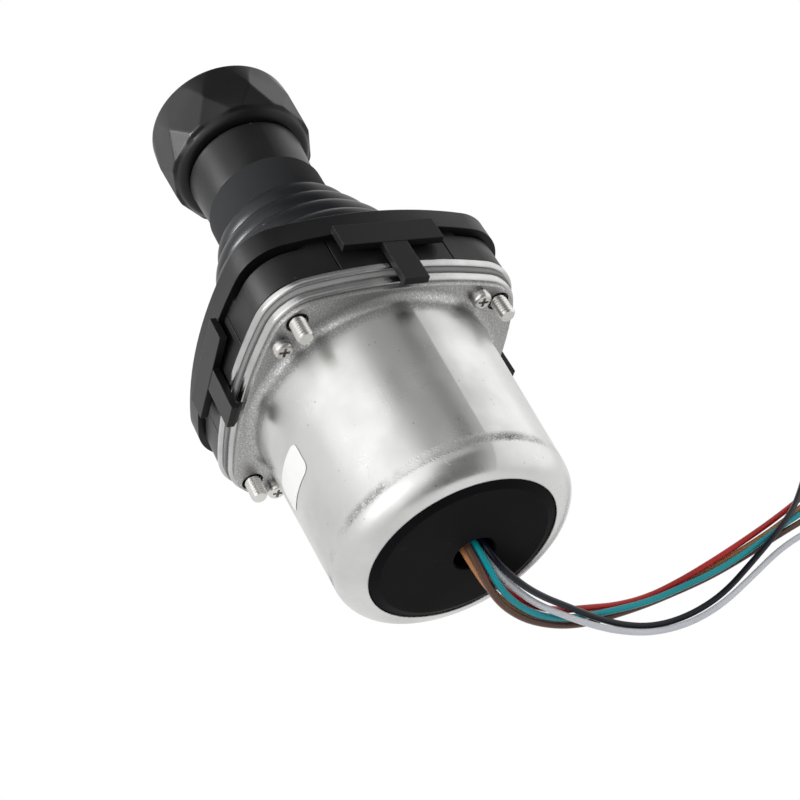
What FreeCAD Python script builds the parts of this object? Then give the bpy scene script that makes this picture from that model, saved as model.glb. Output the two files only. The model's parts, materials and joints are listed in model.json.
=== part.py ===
import FreeCAD, Part
import math
import os

from FreeCAD import Placement, Rotation, Vector

os.makedirs("parts", exist_ok=True)

# A two-axis hall-effect joystick with a twisting knob, lying on one side of its square flange.
# Everything but the leads is drawn standing, with the lever along +Z and the housing's foot at z = 0.
# The finished solids are then laid down: the lever points along +X and the mounting face is at x = 0.

# Lever geometry
TILT_RANGE = 20.0
PIVOT_HEIGHT = 4.8

# Square flange stack, from the housing down
MOUNT_PITCH = 50.0
MOUNT_EDGE = 9.4
SIDE_CURVE = 110.0
UPPER_PLATE_HALF = MOUNT_PITCH / 2 + MOUNT_EDGE
UPPER_PLATE_CORNER = 12.5
UPPER_PLATE_THICKNESS = 2.0
UPPER_PLATE_ROUND = 0.7
SPACER_INSET = 0.9
SPACER_THICKNESS = 1.2
LOWER_PLATE_INSET = 1.3
LOWER_PLATE_THICKNESS = 2.1
LOWER_PLATE_ROUND = 0.6
FLANGE_INSET = 2.2

# Screws that hold the can
CAN_SCREW_INSET = 1.86
CAN_SCREW_CIRCLE = MOUNT_PITCH / math.sqrt(2) - CAN_SCREW_INSET
CAN_SCREW_ANGLE = 10.5
CAN_SCREW_RADIUS = 1.25
CAN_SCREW_HEAD_RADIUS = 2.25
CAN_SCREW_HEAD_HEIGHT = 1.9
CAN_SCREW_LENGTH = 4.6
CAN_SCREW_CLEARANCE = 0.15
WASHER_RADIUS = 2.15
WASHER_THICKNESS = 0.7

# Drawn steel can
SHEET = 1.2
CAN_HEAD_GAP = 0.05
CAN_DRAFT = 1.2
CAN_DEPTH = 48.2
CAN_FLANGE_FILLET = 2.0
CAN_SHOULDER = 5.9
CAN_TOP_RADIUS = CAN_SCREW_CIRCLE - CAN_SCREW_HEAD_RADIUS - CAN_FLANGE_FILLET - CAN_HEAD_GAP
CAN_END_RADIUS = CAN_TOP_RADIUS - CAN_DRAFT

# Board pillars and the round opening between them
BOARD_GAP = 2.6
BOARD_RADIUS = CAN_END_RADIUS - SHEET - BOARD_GAP
STANDOFF_RADIUS = 2.2
STANDOFF_INSET = 3.0
STANDOFF_CIRCLE = BOARD_RADIUS - STANDOFF_INSET
OPENING_LAND = 0.5
PLATE_OPENING = STANDOFF_CIRCLE - STANDOFF_RADIUS - OPENING_LAND

# End plug with its lead hole
PLUG_GAP = 0.2
PLUG_PROUD = 0.6
PLUG_BEVEL_WIDTH = 2.2
PLUG_BEVEL_DEPTH = 0.8
PLUG_COLLAR = 1.2
PLUG_COLLAR_THICKNESS = 2.6
SEAT_GAP = 0.3
LEAD_HOLE_RADIUS = 4.8
LEAD_HOLE_ROUND = 0.5
LEAD_HOLE_X = -1.0
LEAD_HOLE_Y = 2.7

# Housing block
HOUSING_INSET = 0.3
HOUSING_HALF = UPPER_PLATE_HALF - HOUSING_INSET
HOUSING_CORNER = 11.5
HOUSING_HEIGHT = 9.6
CORNER_GAP_DEPTH = 1.2
CORNER_GAP_CUT = 12.2
CORNER_GAP_START = HOUSING_HALF * math.sqrt(2) - CORNER_GAP_CUT
SIDE_SEAM = 0.35
SIDE_SEAM_DEPTH = 1.4
SIDE_SEAM_OFFSET = 14.0

# Bezel frame with four T-shaped clips
RIM_OVERHANG = 1.2
RIM_HALF = UPPER_PLATE_HALF + RIM_OVERHANG
RIM_CORNER = 12.0
RIM_HEIGHT = 6.2
RIM_EDGE = 0.5
RIM_WALL = 4.4
RIM_OPENING = RIM_HALF - RIM_WALL
RIM_CHAMFER = 1.0
CLIP_BAR_WIDTH = 24.8
CLIP_BAR_HEIGHT = 6.5
CLIP_BAR_THICKNESS = 1.8
CLIP_BAR_LAP = 0.9
CLIP_LEG_WIDTH = 6.0
CLIP_LEG_THICKNESS = 1.7
CLIP_CLEARANCE = 0.3
CLIP_HOOK_REACH = 3.2
CLIP_HOOK_THICKNESS = 1.5

# Corner screws that mount the part, with a plain shank above their thread
MOUNT_SCREW_RADIUS = 2.0
MOUNT_SHANK_STEP = 0.2
MOUNT_SHANK_RADIUS = MOUNT_SCREW_RADIUS - MOUNT_SHANK_STEP
MOUNT_SCREW_PROUD = 5.2
MOUNT_TIP_BEVEL = 0.4
MOUNT_HEAD_RADIUS = 3.4
MOUNT_HEAD_HEIGHT = 2.2
MOUNT_HOLE_CLEARANCE = 0.6
CROSS_WIDTH = 0.7
CROSS_LENGTH = 2.6
CROSS_DEPTH = 1.1
FIT = 0.02

# Rubber boot
BOOT_WALL = 1.3
BOOT_FLANGE_LAP = 1.8
BOOT_FLANGE_RADIUS = RIM_OPENING + BOOT_FLANGE_LAP
BOOT_FLANGE_THICKNESS = 1.5
BOOT_RIM_GAP = 0.8
BOOT_BASE_RADIUS = RIM_OPENING - BOOT_RIM_GAP
BOOT_RIB_TOP = 51.0
BOOT_RIB_COUNT = 5
BOOT_RIB_BULGE = 1.5
NECK_RADIUS = 15.5
NECK_LENGTH = 11.8
NECK_TOP = BOOT_RIB_TOP + NECK_LENGTH
NECK_ROUND = 0.9
NECK_WALL = 2.3
NECK_INNER_GAP = 0.2

# Gimbal
RUNNING_FIT = 0.05
GIMBAL_ROOM = 1.5
GIMBAL_OUTER = PLATE_OPENING - GIMBAL_ROOM
GIMBAL_WALL = 4.5
GIMBAL_INNER = GIMBAL_OUTER - GIMBAL_WALL
GIMBAL_HEIGHT = 8.0
PIVOT_PIN_RADIUS = 2.0
BUSH_WALL = 1.0
OUTER_PIN_GRIP = 5.5
OUTER_PIN_END = PLATE_OPENING + OUTER_PIN_GRIP
PIN_END_GAP = 0.4
HUB_GAP = 4.0
HUB_RADIUS = GIMBAL_INNER - HUB_GAP
HUB_HEIGHT = 12.6

# Lever
TUBE_RADIUS = 5.0
TUBE_BOTTOM = -13.0
TUBE_TOP_GAP = 0.6
SLEEVE_DROP = 2.8
SLEEVE_BOTTOM = BOOT_RIB_TOP - SLEEVE_DROP
SLEEVE_SPIGOT = NECK_RADIUS - NECK_WALL - NECK_INNER_GAP
SLEEVE_STEP = 0.8
SLEEVE_LOWER_RADIUS = NECK_RADIUS - SLEEVE_STEP
SLEEVE_DRAFT = 0.9
SLEEVE_UPPER_RADIUS = SLEEVE_LOWER_RADIUS + SLEEVE_DRAFT
SLEEVE_SHOWN = 14.1
SLEEVE_TOP = NECK_TOP + SLEEVE_SHOWN
SLEEVE_WALL = 2.2
SPRING_CUP_HEIGHT = 3.6
SPRING_CUP_BASE = SLEEVE_BOTTOM - SPRING_CUP_HEIGHT
SPRING_CUP_SKIRT = 2.0
SPRING_CUP_FLANGE = 1.6
SPRING_CUP_GAP = 2.9
SPRING_CUP_RADIUS = NECK_RADIUS - SPRING_CUP_GAP
SPRING_CUP_HUB = 8.2
SLEEVE_ROUND = 0.5

# Springs
SPRING_SEAT = 0.05
RETURN_SPRING_WIRE = 1.6
RETURN_SPRING_LAND = 2.1
RETURN_SPRING_BASE = PLATE_OPENING + RETURN_SPRING_LAND
RETURN_SPRING_EDGE = 1.8
RETURN_SPRING_TOP = SPRING_CUP_RADIUS - RETURN_SPRING_EDGE
RETURN_SPRING_TURNS = 5
TWIST_SPRING_WIRE = 1.0
TWIST_SPRING_RADIUS = 7.0
TWIST_SPRING_TURNS = 5
COIL_CORNERS = 8

# Knob with its decagonal cut
KNOB_FACETS = 10
KNOB_CORNER_RADIUS = 20.3
KNOB_LOW_DRAFT = 2.0
KNOB_LOW_APOTHEM = KNOB_CORNER_RADIUS - KNOB_LOW_DRAFT
KNOB_GAP = 0.5
KNOB_HEIGHT = 18.6
KNOB_FACET_DROP = 9.2
KNOB_CROWN = 1.4
KNOB_EDGE_ROUND = 2.2
KNOB_TURN = 1.0
KNOB_WALL = 3.1
KNOB_CAVITY = KNOB_LOW_APOTHEM - KNOB_WALL
KNOB_ROOF = 3.0
KNOB_CAP_LAND = 1.2
KNOB_CAP_RADIUS = KNOB_CAVITY - KNOB_CAP_LAND
KNOB_CAP_DEPTH = 2.4
KNOB_BASE_THICKNESS = 2.0
KNOB_BASE_RECESS = 0.1
TWIST_SHAFT_RADIUS = 3.0
NUT_RADIUS = 4.6
NUT_HEIGHT = 1.8
CLIP_RING_THICKNESS = 0.8
CLIP_RING_RADIUS = 7.0

# Magnets and sensor board
MAGNET_CARRIER_RADIUS = 8.0
MAGNET_CARRIER_TOP = -9.0
MAGNET_CARRIER_BOTTOM = -18.0
RING_MAGNET_OUTER = 7.2
RING_MAGNET_INNER = 5.5
RING_MAGNET_HEIGHT = 3.0
TWIST_MAGNET_RADIUS = 3.6
TWIST_MAGNET_HEIGHT = 3.0
BOARD_TOP = -25.0
BOARD_THICKNESS = 1.6
BOARD_SCREW_RADIUS = 1.25
BOARD_SCREW_HEAD_RADIUS = 2.3
BOARD_SCREW_HEAD_HEIGHT = 1.6
BOARD_SCREW_LENGTH = 5.0
CHIP_WIDTH = 5.0
CHIP_LENGTH = 4.0
CHIP_HEIGHT = 1.4
CHIP_CIRCLE = 9.0
CONNECTOR_WIDTH = 6.4
CONNECTOR_LENGTH = 9.0
CONNECTOR_HEIGHT = 5.0
CONNECTOR_Y = 3.1

# Leads, in the lying frame: +X along the lever, +Z up from the table
LEAD_DIAMETER = 1.6
BEND_SHARE = 0.45
LEAD_ROUTES = {
    "wire_brown": [(-25.1, -1.0, 0.3), (-38.2, -0.9, 0.2), (-51.5, -1.1, 0.4), (-54.9, -7.6, -10.4),
                   (-55.6, -17.2, -19.1), (-55.3, -27.8, -25.3), (-54.2, -38.5, -29.5),
                   (-52.1, -49.1, -32.1), (-50.1, -60.2, -34.0), (-47.7, -72.3, -35.0),
                   (-45.0, -85.6, -35.5), (-41.1, -99.7, -35.6), (-36.6, -114.5, -35.6),
                   (-32.4, -129.6, -35.6), (-28.6, -144.5, -35.6)],
    "wire_tan": [(-25.1, -1.0, -1.7), (-38.2, -0.9, -1.8), (-51.5, -1.1, -1.6), (-51.8, -9.1, -12.3),
                 (-53.1, -18.9, -20.5), (-53.3, -29.3, -26.6), (-51.7, -39.7, -30.1),
                 (-49.7, -50.2, -32.6), (-47.9, -61.4, -34.7), (-45.4, -73.6, -35.5),
                 (-42.5, -87.1, -35.6), (-38.6, -101.4, -35.6), (-33.8, -116.1, -35.6),
                 (-27.9, -130.8, -35.6), (-22.2, -145.1, -35.6)],
    "wire_teal": [(-25.1, -3.0, 0.3), (-38.2, -2.9, 0.2), (-51.5, -3.1, 0.4), (-54.5, -9.6, -9.3),
                  (-55.2, -18.5, -17.5), (-54.9, -28.5, -23.5), (-53.5, -38.8, -27.3),
                  (-52.2, -49.4, -29.6), (-50.8, -60.5, -31.4), (-48.2, -72.5, -32.6),
                  (-45.2, -86.0, -33.5), (-40.8, -100.3, -33.6), (-35.3, -114.8, -34.1),
                  (-30.5, -129.7, -34.7), (-25.3, -144.1, -35.5)],
    "wire_red": [(-25.1, -3.0, -1.7), (-38.2, -2.9, -1.8), (-51.5, -3.1, -1.6), (-51.4, -11.2, -11.3),
                 (-52.5, -20.7, -19.0), (-52.3, -30.6, -24.4), (-51.0, -41.0, -27.9),
                 (-50.2, -51.4, -31.0), (-48.7, -62.5, -32.7), (-45.7, -74.5, -33.4),
                 (-41.8, -87.5, -33.7), (-37.1, -101.6, -34.2), (-31.8, -116.1, -35.0),
                 (-25.9, -130.6, -35.6), (-19.0, -144.4, -35.6)],
    "wire_white": [(-25.1, -5.0, -1.7), (-38.2, -4.9, -1.8), (-51.5, -5.1, -1.6), (-52.5, -12.8, -9.8),
                   (-54.1, -20.5, -16.4), (-55.4, -29.4, -21.6), (-56.6, -38.6, -26.6),
                   (-57.7, -48.3, -30.7), (-58.1, -58.9, -33.8), (-57.0, -70.8, -35.3),
                   (-53.6, -83.6, -35.6), (-47.7, -96.9, -35.4), (-41.3, -111.0, -34.8),
                   (-36.8, -126.7, -35.1), (-33.1, -142.2, -35.6)],
    "wire_black": [(-25.1, -5.0, 0.3), (-38.2, -4.9, 0.2), (-51.5, -5.1, 0.4), (-53.8, -13.2, -7.4),
                   (-54.0, -21.8, -14.5), (-54.2, -31.1, -20.6), (-54.9, -40.3, -26.4),
                   (-55.7, -50.0, -31.3), (-56.1, -60.8, -34.5), (-54.6, -72.8, -35.6),
                   (-50.9, -85.5, -35.4), (-44.6, -98.2, -33.6), (-37.6, -111.4, -31.8),
                   (-29.3, -124.3, -33.1), (-19.2, -135.3, -35.2)],
}

# Heights that follow from the sizes above
SPACER_TOP = -UPPER_PLATE_THICKNESS
LOWER_PLATE_TOP = SPACER_TOP - SPACER_THICKNESS
FLANGE_TOP = LOWER_PLATE_TOP - LOWER_PLATE_THICKNESS
FLANGE_BOTTOM = FLANGE_TOP - SHEET
CAN_END = FLANGE_BOTTOM - CAN_DEPTH
CAN_OPENING = CAN_END_RADIUS - CAN_SHOULDER
RIM_BOTTOM = HOUSING_HEIGHT
RIM_TOP = RIM_BOTTOM + RIM_HEIGHT
KNOB_BOTTOM = SLEEVE_TOP + KNOB_GAP
KNOB_TOP = KNOB_BOTTOM + KNOB_HEIGHT
KNOB_CAP_SEAT = KNOB_TOP - KNOB_CAP_DEPTH
KNOB_ROOF_HEIGHT = KNOB_CAP_SEAT - KNOB_ROOF
TUBE_TOP = KNOB_ROOF_HEIGHT - TUBE_TOP_GAP
BASE_PLATE_BOTTOM = KNOB_BOTTOM + KNOB_BASE_RECESS
BASE_PLATE_TOP = BASE_PLATE_BOTTOM + KNOB_BASE_THICKNESS
RETAINING_RING_BOTTOM = BASE_PLATE_TOP + SEAT_GAP
RETAINING_RING_TOP = RETAINING_RING_BOTTOM + CLIP_RING_THICKNESS
CROWN_RADIUS = (KNOB_CORNER_RADIUS ** 2 + KNOB_CROWN ** 2) / (2 * KNOB_CROWN)
BOARD_BOTTOM = BOARD_TOP - BOARD_THICKNESS
CONNECTOR_BOTTOM = BOARD_BOTTOM - CONNECTOR_HEIGHT
CLIP_INNER = UPPER_PLATE_HALF + CLIP_CLEARANCE

ORIGIN = Vector(0, 0, 0)
UP = Vector(0, 0, 1)
ALONG_X = Vector(1, 0, 0)
ALONG_Y = Vector(0, 1, 0)
LYING_DOWN = Placement(Vector(-FLANGE_BOTTOM, 0, 0), Rotation(Vector(1, 0, 1), 180))


def cylinder(radius, bottom, top, x=0.0, y=0.0):
    """Upright cylinder between two heights."""
    return Part.makeCylinder(radius, top - bottom, Vector(x, y, bottom), UP)


def tube(outer, inner, bottom, top):
    """Upright tube between two heights."""
    return cylinder(outer, bottom, top).cut(cylinder(inner, bottom, top))


def box(x0, x1, y0, y1, z0, z1):
    """Box between two corners."""
    return Part.makeBox(x1 - x0, y1 - y0, z1 - z0, Vector(x0, y0, z0))


def quarters(shape):
    """Four copies of a shape, a quarter turn apart about the lever axis."""
    copies = []
    for turn in range(4):
        copy = shape.copy()
        copy.rotate(ORIGIN, UP, 90.0 * turn)
        copies.append(copy)
    return copies


def revolve(points):
    """Solid of revolution of a closed outline of (radius, height) points."""
    corners = [Vector(r, 0, z) for r, z in points]
    face = Part.Face(Part.makePolygon(corners + [corners[0]]))
    return face.revolve(ORIGIN, UP, 360)


def revolve_edges(edges):
    """Solid of revolution of edges that close in the XZ plane."""
    return Part.Face(Part.Wire(edges)).revolve(ORIGIN, UP, 360)


def line(a, b):
    """Edge between two (radius, height) points."""
    return Part.makeLine(Vector(a[0], 0, a[1]), Vector(b[0], 0, b[1]))


def arc(a, b, c):
    """Arc through three (radius, height) points."""
    return Part.Arc(Vector(a[0], 0, a[1]), Vector(b[0], 0, b[1]), Vector(c[0], 0, c[1])).toShape()


def on_circle(centre, radius, degrees):
    """Point on a circle in the (radius, height) plane."""
    angle = math.radians(degrees)
    return (centre[0] + radius * math.cos(angle), centre[1] + radius * math.sin(angle))


def square_outline(half, corner):
    """Rounded square with gently bowed sides, every arc tangent to the next."""
    side_centre = half - SIDE_CURVE
    reach = SIDE_CURVE - corner
    corner_centre = (side_centre + math.sqrt(2 * reach ** 2 - side_centre ** 2)) / 2
    scale = SIDE_CURVE / reach
    end_x = side_centre + (corner_centre - side_centre) * scale
    end_y = corner_centre * scale
    tip = corner_centre + corner / math.sqrt(2)
    side = Part.Arc(Vector(end_x, -end_y, 0), Vector(half, 0, 0), Vector(end_x, end_y, 0)).toShape()
    bend = Part.Arc(Vector(end_x, end_y, 0), Vector(tip, tip, 0), Vector(end_y, end_x, 0)).toShape()
    edges = []
    for turn in range(4):
        for edge in (side, bend):
            copy = edge.copy()
            copy.rotate(ORIGIN, UP, 90.0 * turn)
            edges.append(copy)
    return Part.Wire(edges)


def square_plate(half, corner, bottom, top):
    """Prism on the rounded square."""
    plate = Part.Face(square_outline(half, corner)).extrude(Vector(0, 0, top - bottom))
    plate.translate(Vector(0, 0, bottom))
    return plate


def level_edges(shape, height):
    """Edges of a shape that lie wholly at one height."""
    found = []
    for edge in shape.Edges:
        if abs(edge.BoundBox.ZMin - height) < 1e-6 and abs(edge.BoundBox.ZMax - height) < 1e-6:
            found.append(edge)
    return found


def screw_places():
    """Centres of the four screws that hold the can."""
    places = []
    for turn in range(4):
        angle = math.radians(90.0 * turn - 45.0 - CAN_SCREW_ANGLE)
        places.append((CAN_SCREW_CIRCLE * math.cos(angle), CAN_SCREW_CIRCLE * math.sin(angle)))
    return places


def mount_places():
    """Centres of the four corner screws."""
    half = MOUNT_PITCH / 2
    return [(half, -half), (half, half), (-half, half), (-half, -half)]


def standoff_places():
    """Centres of the four board pillars."""
    step = STANDOFF_CIRCLE / math.sqrt(2)
    return [(step, -step), (step, step), (-step, step), (-step, -step)]


def drilled(shape, places, radius, bottom, top):
    """Shape with the same hole at several places."""
    for x, y in places:
        shape = shape.cut(cylinder(radius, bottom, top, x, y))
    return shape


def flange_drilled(shape, bottom, top, screw_radius):
    """Plate with the corner holes and the can screw holes."""
    shape = drilled(shape, mount_places(), MOUNT_SCREW_RADIUS + MOUNT_HOLE_CLEARANCE, bottom, top)
    return drilled(shape, screw_places(), screw_radius, bottom, top)


def upper_plate():
    """Top steel plate, rolled over at its lower edge."""
    plate = square_plate(UPPER_PLATE_HALF, UPPER_PLATE_CORNER, SPACER_TOP, 0.0)
    plate = plate.makeFillet(UPPER_PLATE_ROUND, level_edges(plate, 0.0) + level_edges(plate, SPACER_TOP))
    plate = plate.cut(cylinder(PLATE_OPENING, SPACER_TOP, 0.0))
    return drilled(plate, mount_places(), MOUNT_SCREW_RADIUS + FIT, SPACER_TOP, 0.0)


def spacer_plate():
    """Inset middle plate."""
    half = UPPER_PLATE_HALF - SPACER_INSET
    plate = square_plate(half, UPPER_PLATE_CORNER - SPACER_INSET, LOWER_PLATE_TOP, SPACER_TOP)
    plate = plate.cut(cylinder(PLATE_OPENING, LOWER_PLATE_TOP, SPACER_TOP))
    return flange_drilled(plate, LOWER_PLATE_TOP, SPACER_TOP, CAN_SCREW_RADIUS + CAN_SCREW_CLEARANCE)


def lower_plate():
    """Steel plate that carries the can and the board pillars."""
    half = UPPER_PLATE_HALF - LOWER_PLATE_INSET
    plate = square_plate(half, UPPER_PLATE_CORNER - LOWER_PLATE_INSET, FLANGE_TOP, LOWER_PLATE_TOP)
    plate = plate.makeFillet(LOWER_PLATE_ROUND, level_edges(plate, FLANGE_TOP))
    plate = plate.cut(cylinder(PLATE_OPENING, FLANGE_TOP, LOWER_PLATE_TOP))
    return flange_drilled(plate, FLANGE_TOP, LOWER_PLATE_TOP, CAN_SCREW_RADIUS + FIT)


def can():
    """Deep-drawn can with its square flange, draft, shoulder and open end."""
    fillet = CAN_FLANGE_FILLET
    wall_top = FLANGE_BOTTOM - fillet
    shoulder_z = CAN_END + CAN_SHOULDER
    flange_start = CAN_TOP_RADIUS + fillet
    bend = (flange_start, wall_top)
    shoulder = (CAN_OPENING, shoulder_z)
    inner_shoulder = CAN_SHOULDER - SHEET
    edges = [
        arc((flange_start, FLANGE_BOTTOM), on_circle(bend, fillet, 135), (CAN_TOP_RADIUS, wall_top)),
        line((CAN_TOP_RADIUS, wall_top), (CAN_END_RADIUS, shoulder_z)),
        arc((CAN_END_RADIUS, shoulder_z), on_circle(shoulder, CAN_SHOULDER, -45), (CAN_OPENING, CAN_END)),
        line((CAN_OPENING, CAN_END), (CAN_OPENING, CAN_END + SHEET)),
        arc((CAN_OPENING, CAN_END + SHEET), on_circle(shoulder, inner_shoulder, -45),
            (CAN_END_RADIUS - SHEET, shoulder_z)),
        line((CAN_END_RADIUS - SHEET, shoulder_z), (CAN_TOP_RADIUS - SHEET, wall_top)),
        arc((CAN_TOP_RADIUS - SHEET, wall_top), on_circle(bend, fillet + SHEET, 135), (flange_start, FLANGE_TOP)),
        line((flange_start, FLANGE_TOP), (flange_start, FLANGE_BOTTOM)),
    ]
    wall = revolve_edges(edges)
    half = UPPER_PLATE_HALF - FLANGE_INSET
    flange = square_plate(half, UPPER_PLATE_CORNER - FLANGE_INSET, FLANGE_BOTTOM, FLANGE_TOP)
    flange = flange.cut(cylinder(flange_start, FLANGE_BOTTOM, FLANGE_TOP))
    flange = flange_drilled(flange, FLANGE_BOTTOM, FLANGE_TOP, CAN_SCREW_RADIUS + CAN_SCREW_CLEARANCE)
    return wall.fuse(flange).removeSplitter()


def end_plug():
    """Moulded plug, snapped in behind the lip of the can, with its lead hole."""
    radius = CAN_OPENING - PLUG_GAP
    face = CAN_END - PLUG_PROUD
    lip = CAN_END + SHEET + SEAT_GAP
    back = lip + PLUG_COLLAR_THICKNESS
    plug = revolve([
        (0, face), (radius - PLUG_BEVEL_WIDTH, face), (radius, face + PLUG_BEVEL_DEPTH), (radius, lip),
        (CAN_OPENING + PLUG_COLLAR, lip), (CAN_OPENING + PLUG_COLLAR, back - 1.0),
        (CAN_OPENING + PLUG_COLLAR - 1.0, back), (0, back),
    ])
    hole = cylinder(LEAD_HOLE_RADIUS, face, back, LEAD_HOLE_X, LEAD_HOLE_Y)
    plug = plug.cut(hole)
    rims = [e for e in level_edges(plug, face) if e.Curve.TypeId == "Part::GeomCircle"
            and abs(e.Curve.Radius - LEAD_HOLE_RADIUS) < 1e-6]
    return plug.makeFillet(LEAD_HOLE_ROUND, rims)


def housing_block():
    """Moulded block that carries the gimbal."""
    block = square_plate(HOUSING_HALF, HOUSING_CORNER, 0.0, HOUSING_HEIGHT)
    block = block.cut(cylinder(PLATE_OPENING, 0.0, HOUSING_HEIGHT))
    corner = box(CORNER_GAP_START, 2 * HOUSING_HALF, -HOUSING_HALF, HOUSING_HALF,
                 HOUSING_HEIGHT - CORNER_GAP_DEPTH, HOUSING_HEIGHT)
    for pocket in quarters(corner):
        pocket.rotate(ORIGIN, UP, 45)
        block = block.cut(pocket)
    for offset in (-SIDE_SEAM_OFFSET, SIDE_SEAM_OFFSET):
        seam = box(HOUSING_HALF - SIDE_SEAM_DEPTH, RIM_HALF, offset - SIDE_SEAM / 2, offset + SIDE_SEAM / 2,
                   0.0, HOUSING_HEIGHT)
        for cut in quarters(seam):
            block = block.cut(cut)
    block = drilled(block, mount_places(), MOUNT_SCREW_RADIUS + FIT, 0.0, HOUSING_HEIGHT)
    head_seat = HOUSING_HEIGHT - CORNER_GAP_DEPTH - MOUNT_HEAD_HEIGHT
    block = drilled(block, mount_places(), MOUNT_HEAD_RADIUS + FIT, head_seat, HOUSING_HEIGHT)
    start = Vector(-OUTER_PIN_END, 0, PIVOT_HEIGHT)
    return block.cut(Part.makeCylinder(PIVOT_PIN_RADIUS + FIT, 2 * OUTER_PIN_END, start, ALONG_X))


def clip():
    """One T-shaped snap clip on the +X side."""
    inner = CLIP_INNER
    outer = inner + CLIP_BAR_THICKNESS
    bar_top = RIM_BOTTOM + CLIP_BAR_LAP
    bar_bottom = bar_top - CLIP_BAR_HEIGHT
    bar = box(inner, outer, -CLIP_BAR_WIDTH / 2, CLIP_BAR_WIDTH / 2, bar_bottom, bar_top)
    hook_top = FLANGE_BOTTOM - CLIP_CLEARANCE
    hook_bottom = hook_top - CLIP_HOOK_THICKNESS
    half_leg = CLIP_LEG_WIDTH / 2
    leg_outer = inner + CLIP_LEG_THICKNESS
    leg = box(inner, leg_outer, -half_leg, half_leg, hook_bottom, bar_bottom + 1.0)
    hook = Part.Face(Part.makePolygon([
        Vector(leg_outer - CLIP_HOOK_REACH, -half_leg, hook_top),
        Vector(leg_outer, -half_leg, hook_top),
        Vector(leg_outer, -half_leg, hook_bottom),
        Vector(inner, -half_leg, hook_bottom),
        Vector(leg_outer - CLIP_HOOK_REACH, -half_leg, hook_top),
    ])).extrude(Vector(0, CLIP_LEG_WIDTH, 0))
    return bar.fuse(leg).fuse(hook)


def bezel_frame():
    """Rim plate with a round window and four clips that snap under the can."""
    rim = square_plate(RIM_HALF, RIM_CORNER, RIM_BOTTOM, RIM_TOP)
    rim = rim.makeFillet(RIM_EDGE, level_edges(rim, RIM_TOP))
    rim = rim.cut(cylinder(RIM_OPENING, RIM_BOTTOM, RIM_TOP))
    window = [e for e in level_edges(rim, RIM_TOP) if abs(e.Length - 2 * math.pi * RIM_OPENING) < 1e-3]
    rim = rim.makeChamfer(RIM_CHAMFER, window)
    recess = BOOT_FLANGE_RADIUS + SEAT_GAP
    rim = rim.cut(cylinder(recess, RIM_BOTTOM, RIM_BOTTOM + BOOT_FLANGE_THICKNESS + SEAT_GAP))
    for shape in quarters(clip()):
        rim = rim.fuse(shape)
    return rim.removeSplitter()


def boot_cone():
    """Outer rib points of the boot, from the bezel up to the neck."""
    low = (BOOT_BASE_RADIUS, RIM_TOP)
    high = (NECK_RADIUS, BOOT_RIB_TOP)
    return low, high


def rubber_boot():
    """Bellows boot: clamped flange, wall, ribs and the neck that grips the sleeve."""
    low, high = boot_cone()
    run = (high[0] - low[0], high[1] - low[1])
    length = math.hypot(*run)
    outward = (run[1] / length, -run[0] / length)
    inward = (-outward[0] * BOOT_WALL, -outward[1] * BOOT_WALL)

    def along(share, bulge=0.0):
        """Point on the cone, pushed outwards by the bulge."""
        return (low[0] + run[0] * share + outward[0] * bulge, low[1] + run[1] * share + outward[1] * bulge)

    def shifted(point):
        """Matching point on the inner face."""
        return (point[0] + inward[0], point[1] + inward[1])

    outer = []
    inner = []
    for rib in range(BOOT_RIB_COUNT):
        start = along(rib / BOOT_RIB_COUNT)
        middle = along((rib + 0.5) / BOOT_RIB_COUNT, BOOT_RIB_BULGE)
        end = along((rib + 1) / BOOT_RIB_COUNT)
        outer.append(arc(start, middle, end))
        inner.append(arc(shifted(start), shifted(middle), shifted(end)))
    flange_top = HOUSING_HEIGHT + BOOT_FLANGE_THICKNESS
    neck_inner = SLEEVE_SPIGOT + NECK_INNER_GAP
    inner_low = shifted(low)
    inner_high = shifted(high)
    shoulder_z = inner_high[1] + (inner_high[0] - neck_inner) * 0.6
    edges = [
        line((inner_low[0], HOUSING_HEIGHT), (BOOT_FLANGE_RADIUS, HOUSING_HEIGHT)),
        line((BOOT_FLANGE_RADIUS, HOUSING_HEIGHT), (BOOT_FLANGE_RADIUS, flange_top)),
        line((BOOT_FLANGE_RADIUS, flange_top), (low[0], flange_top)),
        line((low[0], flange_top), low),
    ] + outer + [
        line(high, (NECK_RADIUS, NECK_TOP - NECK_ROUND)),
        arc((NECK_RADIUS, NECK_TOP - NECK_ROUND),
            on_circle((NECK_RADIUS - NECK_ROUND, NECK_TOP - NECK_ROUND), NECK_ROUND, 45),
            (NECK_RADIUS - NECK_ROUND, NECK_TOP)),
        line((NECK_RADIUS - NECK_ROUND, NECK_TOP), (neck_inner, NECK_TOP)),
        line((neck_inner, NECK_TOP), (neck_inner, shoulder_z)),
        line((neck_inner, shoulder_z), inner_high),
    ] + list(reversed(inner)) + [
        line(inner_low, (inner_low[0], HOUSING_HEIGHT)),
    ]
    return revolve_edges(edges)


def cross_recess(x, y, face, down):
    """Cross-shaped driver recess that opens at a face."""
    low, high = (face, face + CROSS_DEPTH) if down else (face - CROSS_DEPTH, face)
    half, thin = CROSS_LENGTH / 2, CROSS_WIDTH / 2
    one = box(x - half, x + half, y - thin, y + thin, low, high)
    other = box(x - thin, x + thin, y - half, y + half, low, high)
    return one.fuse(other)


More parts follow.
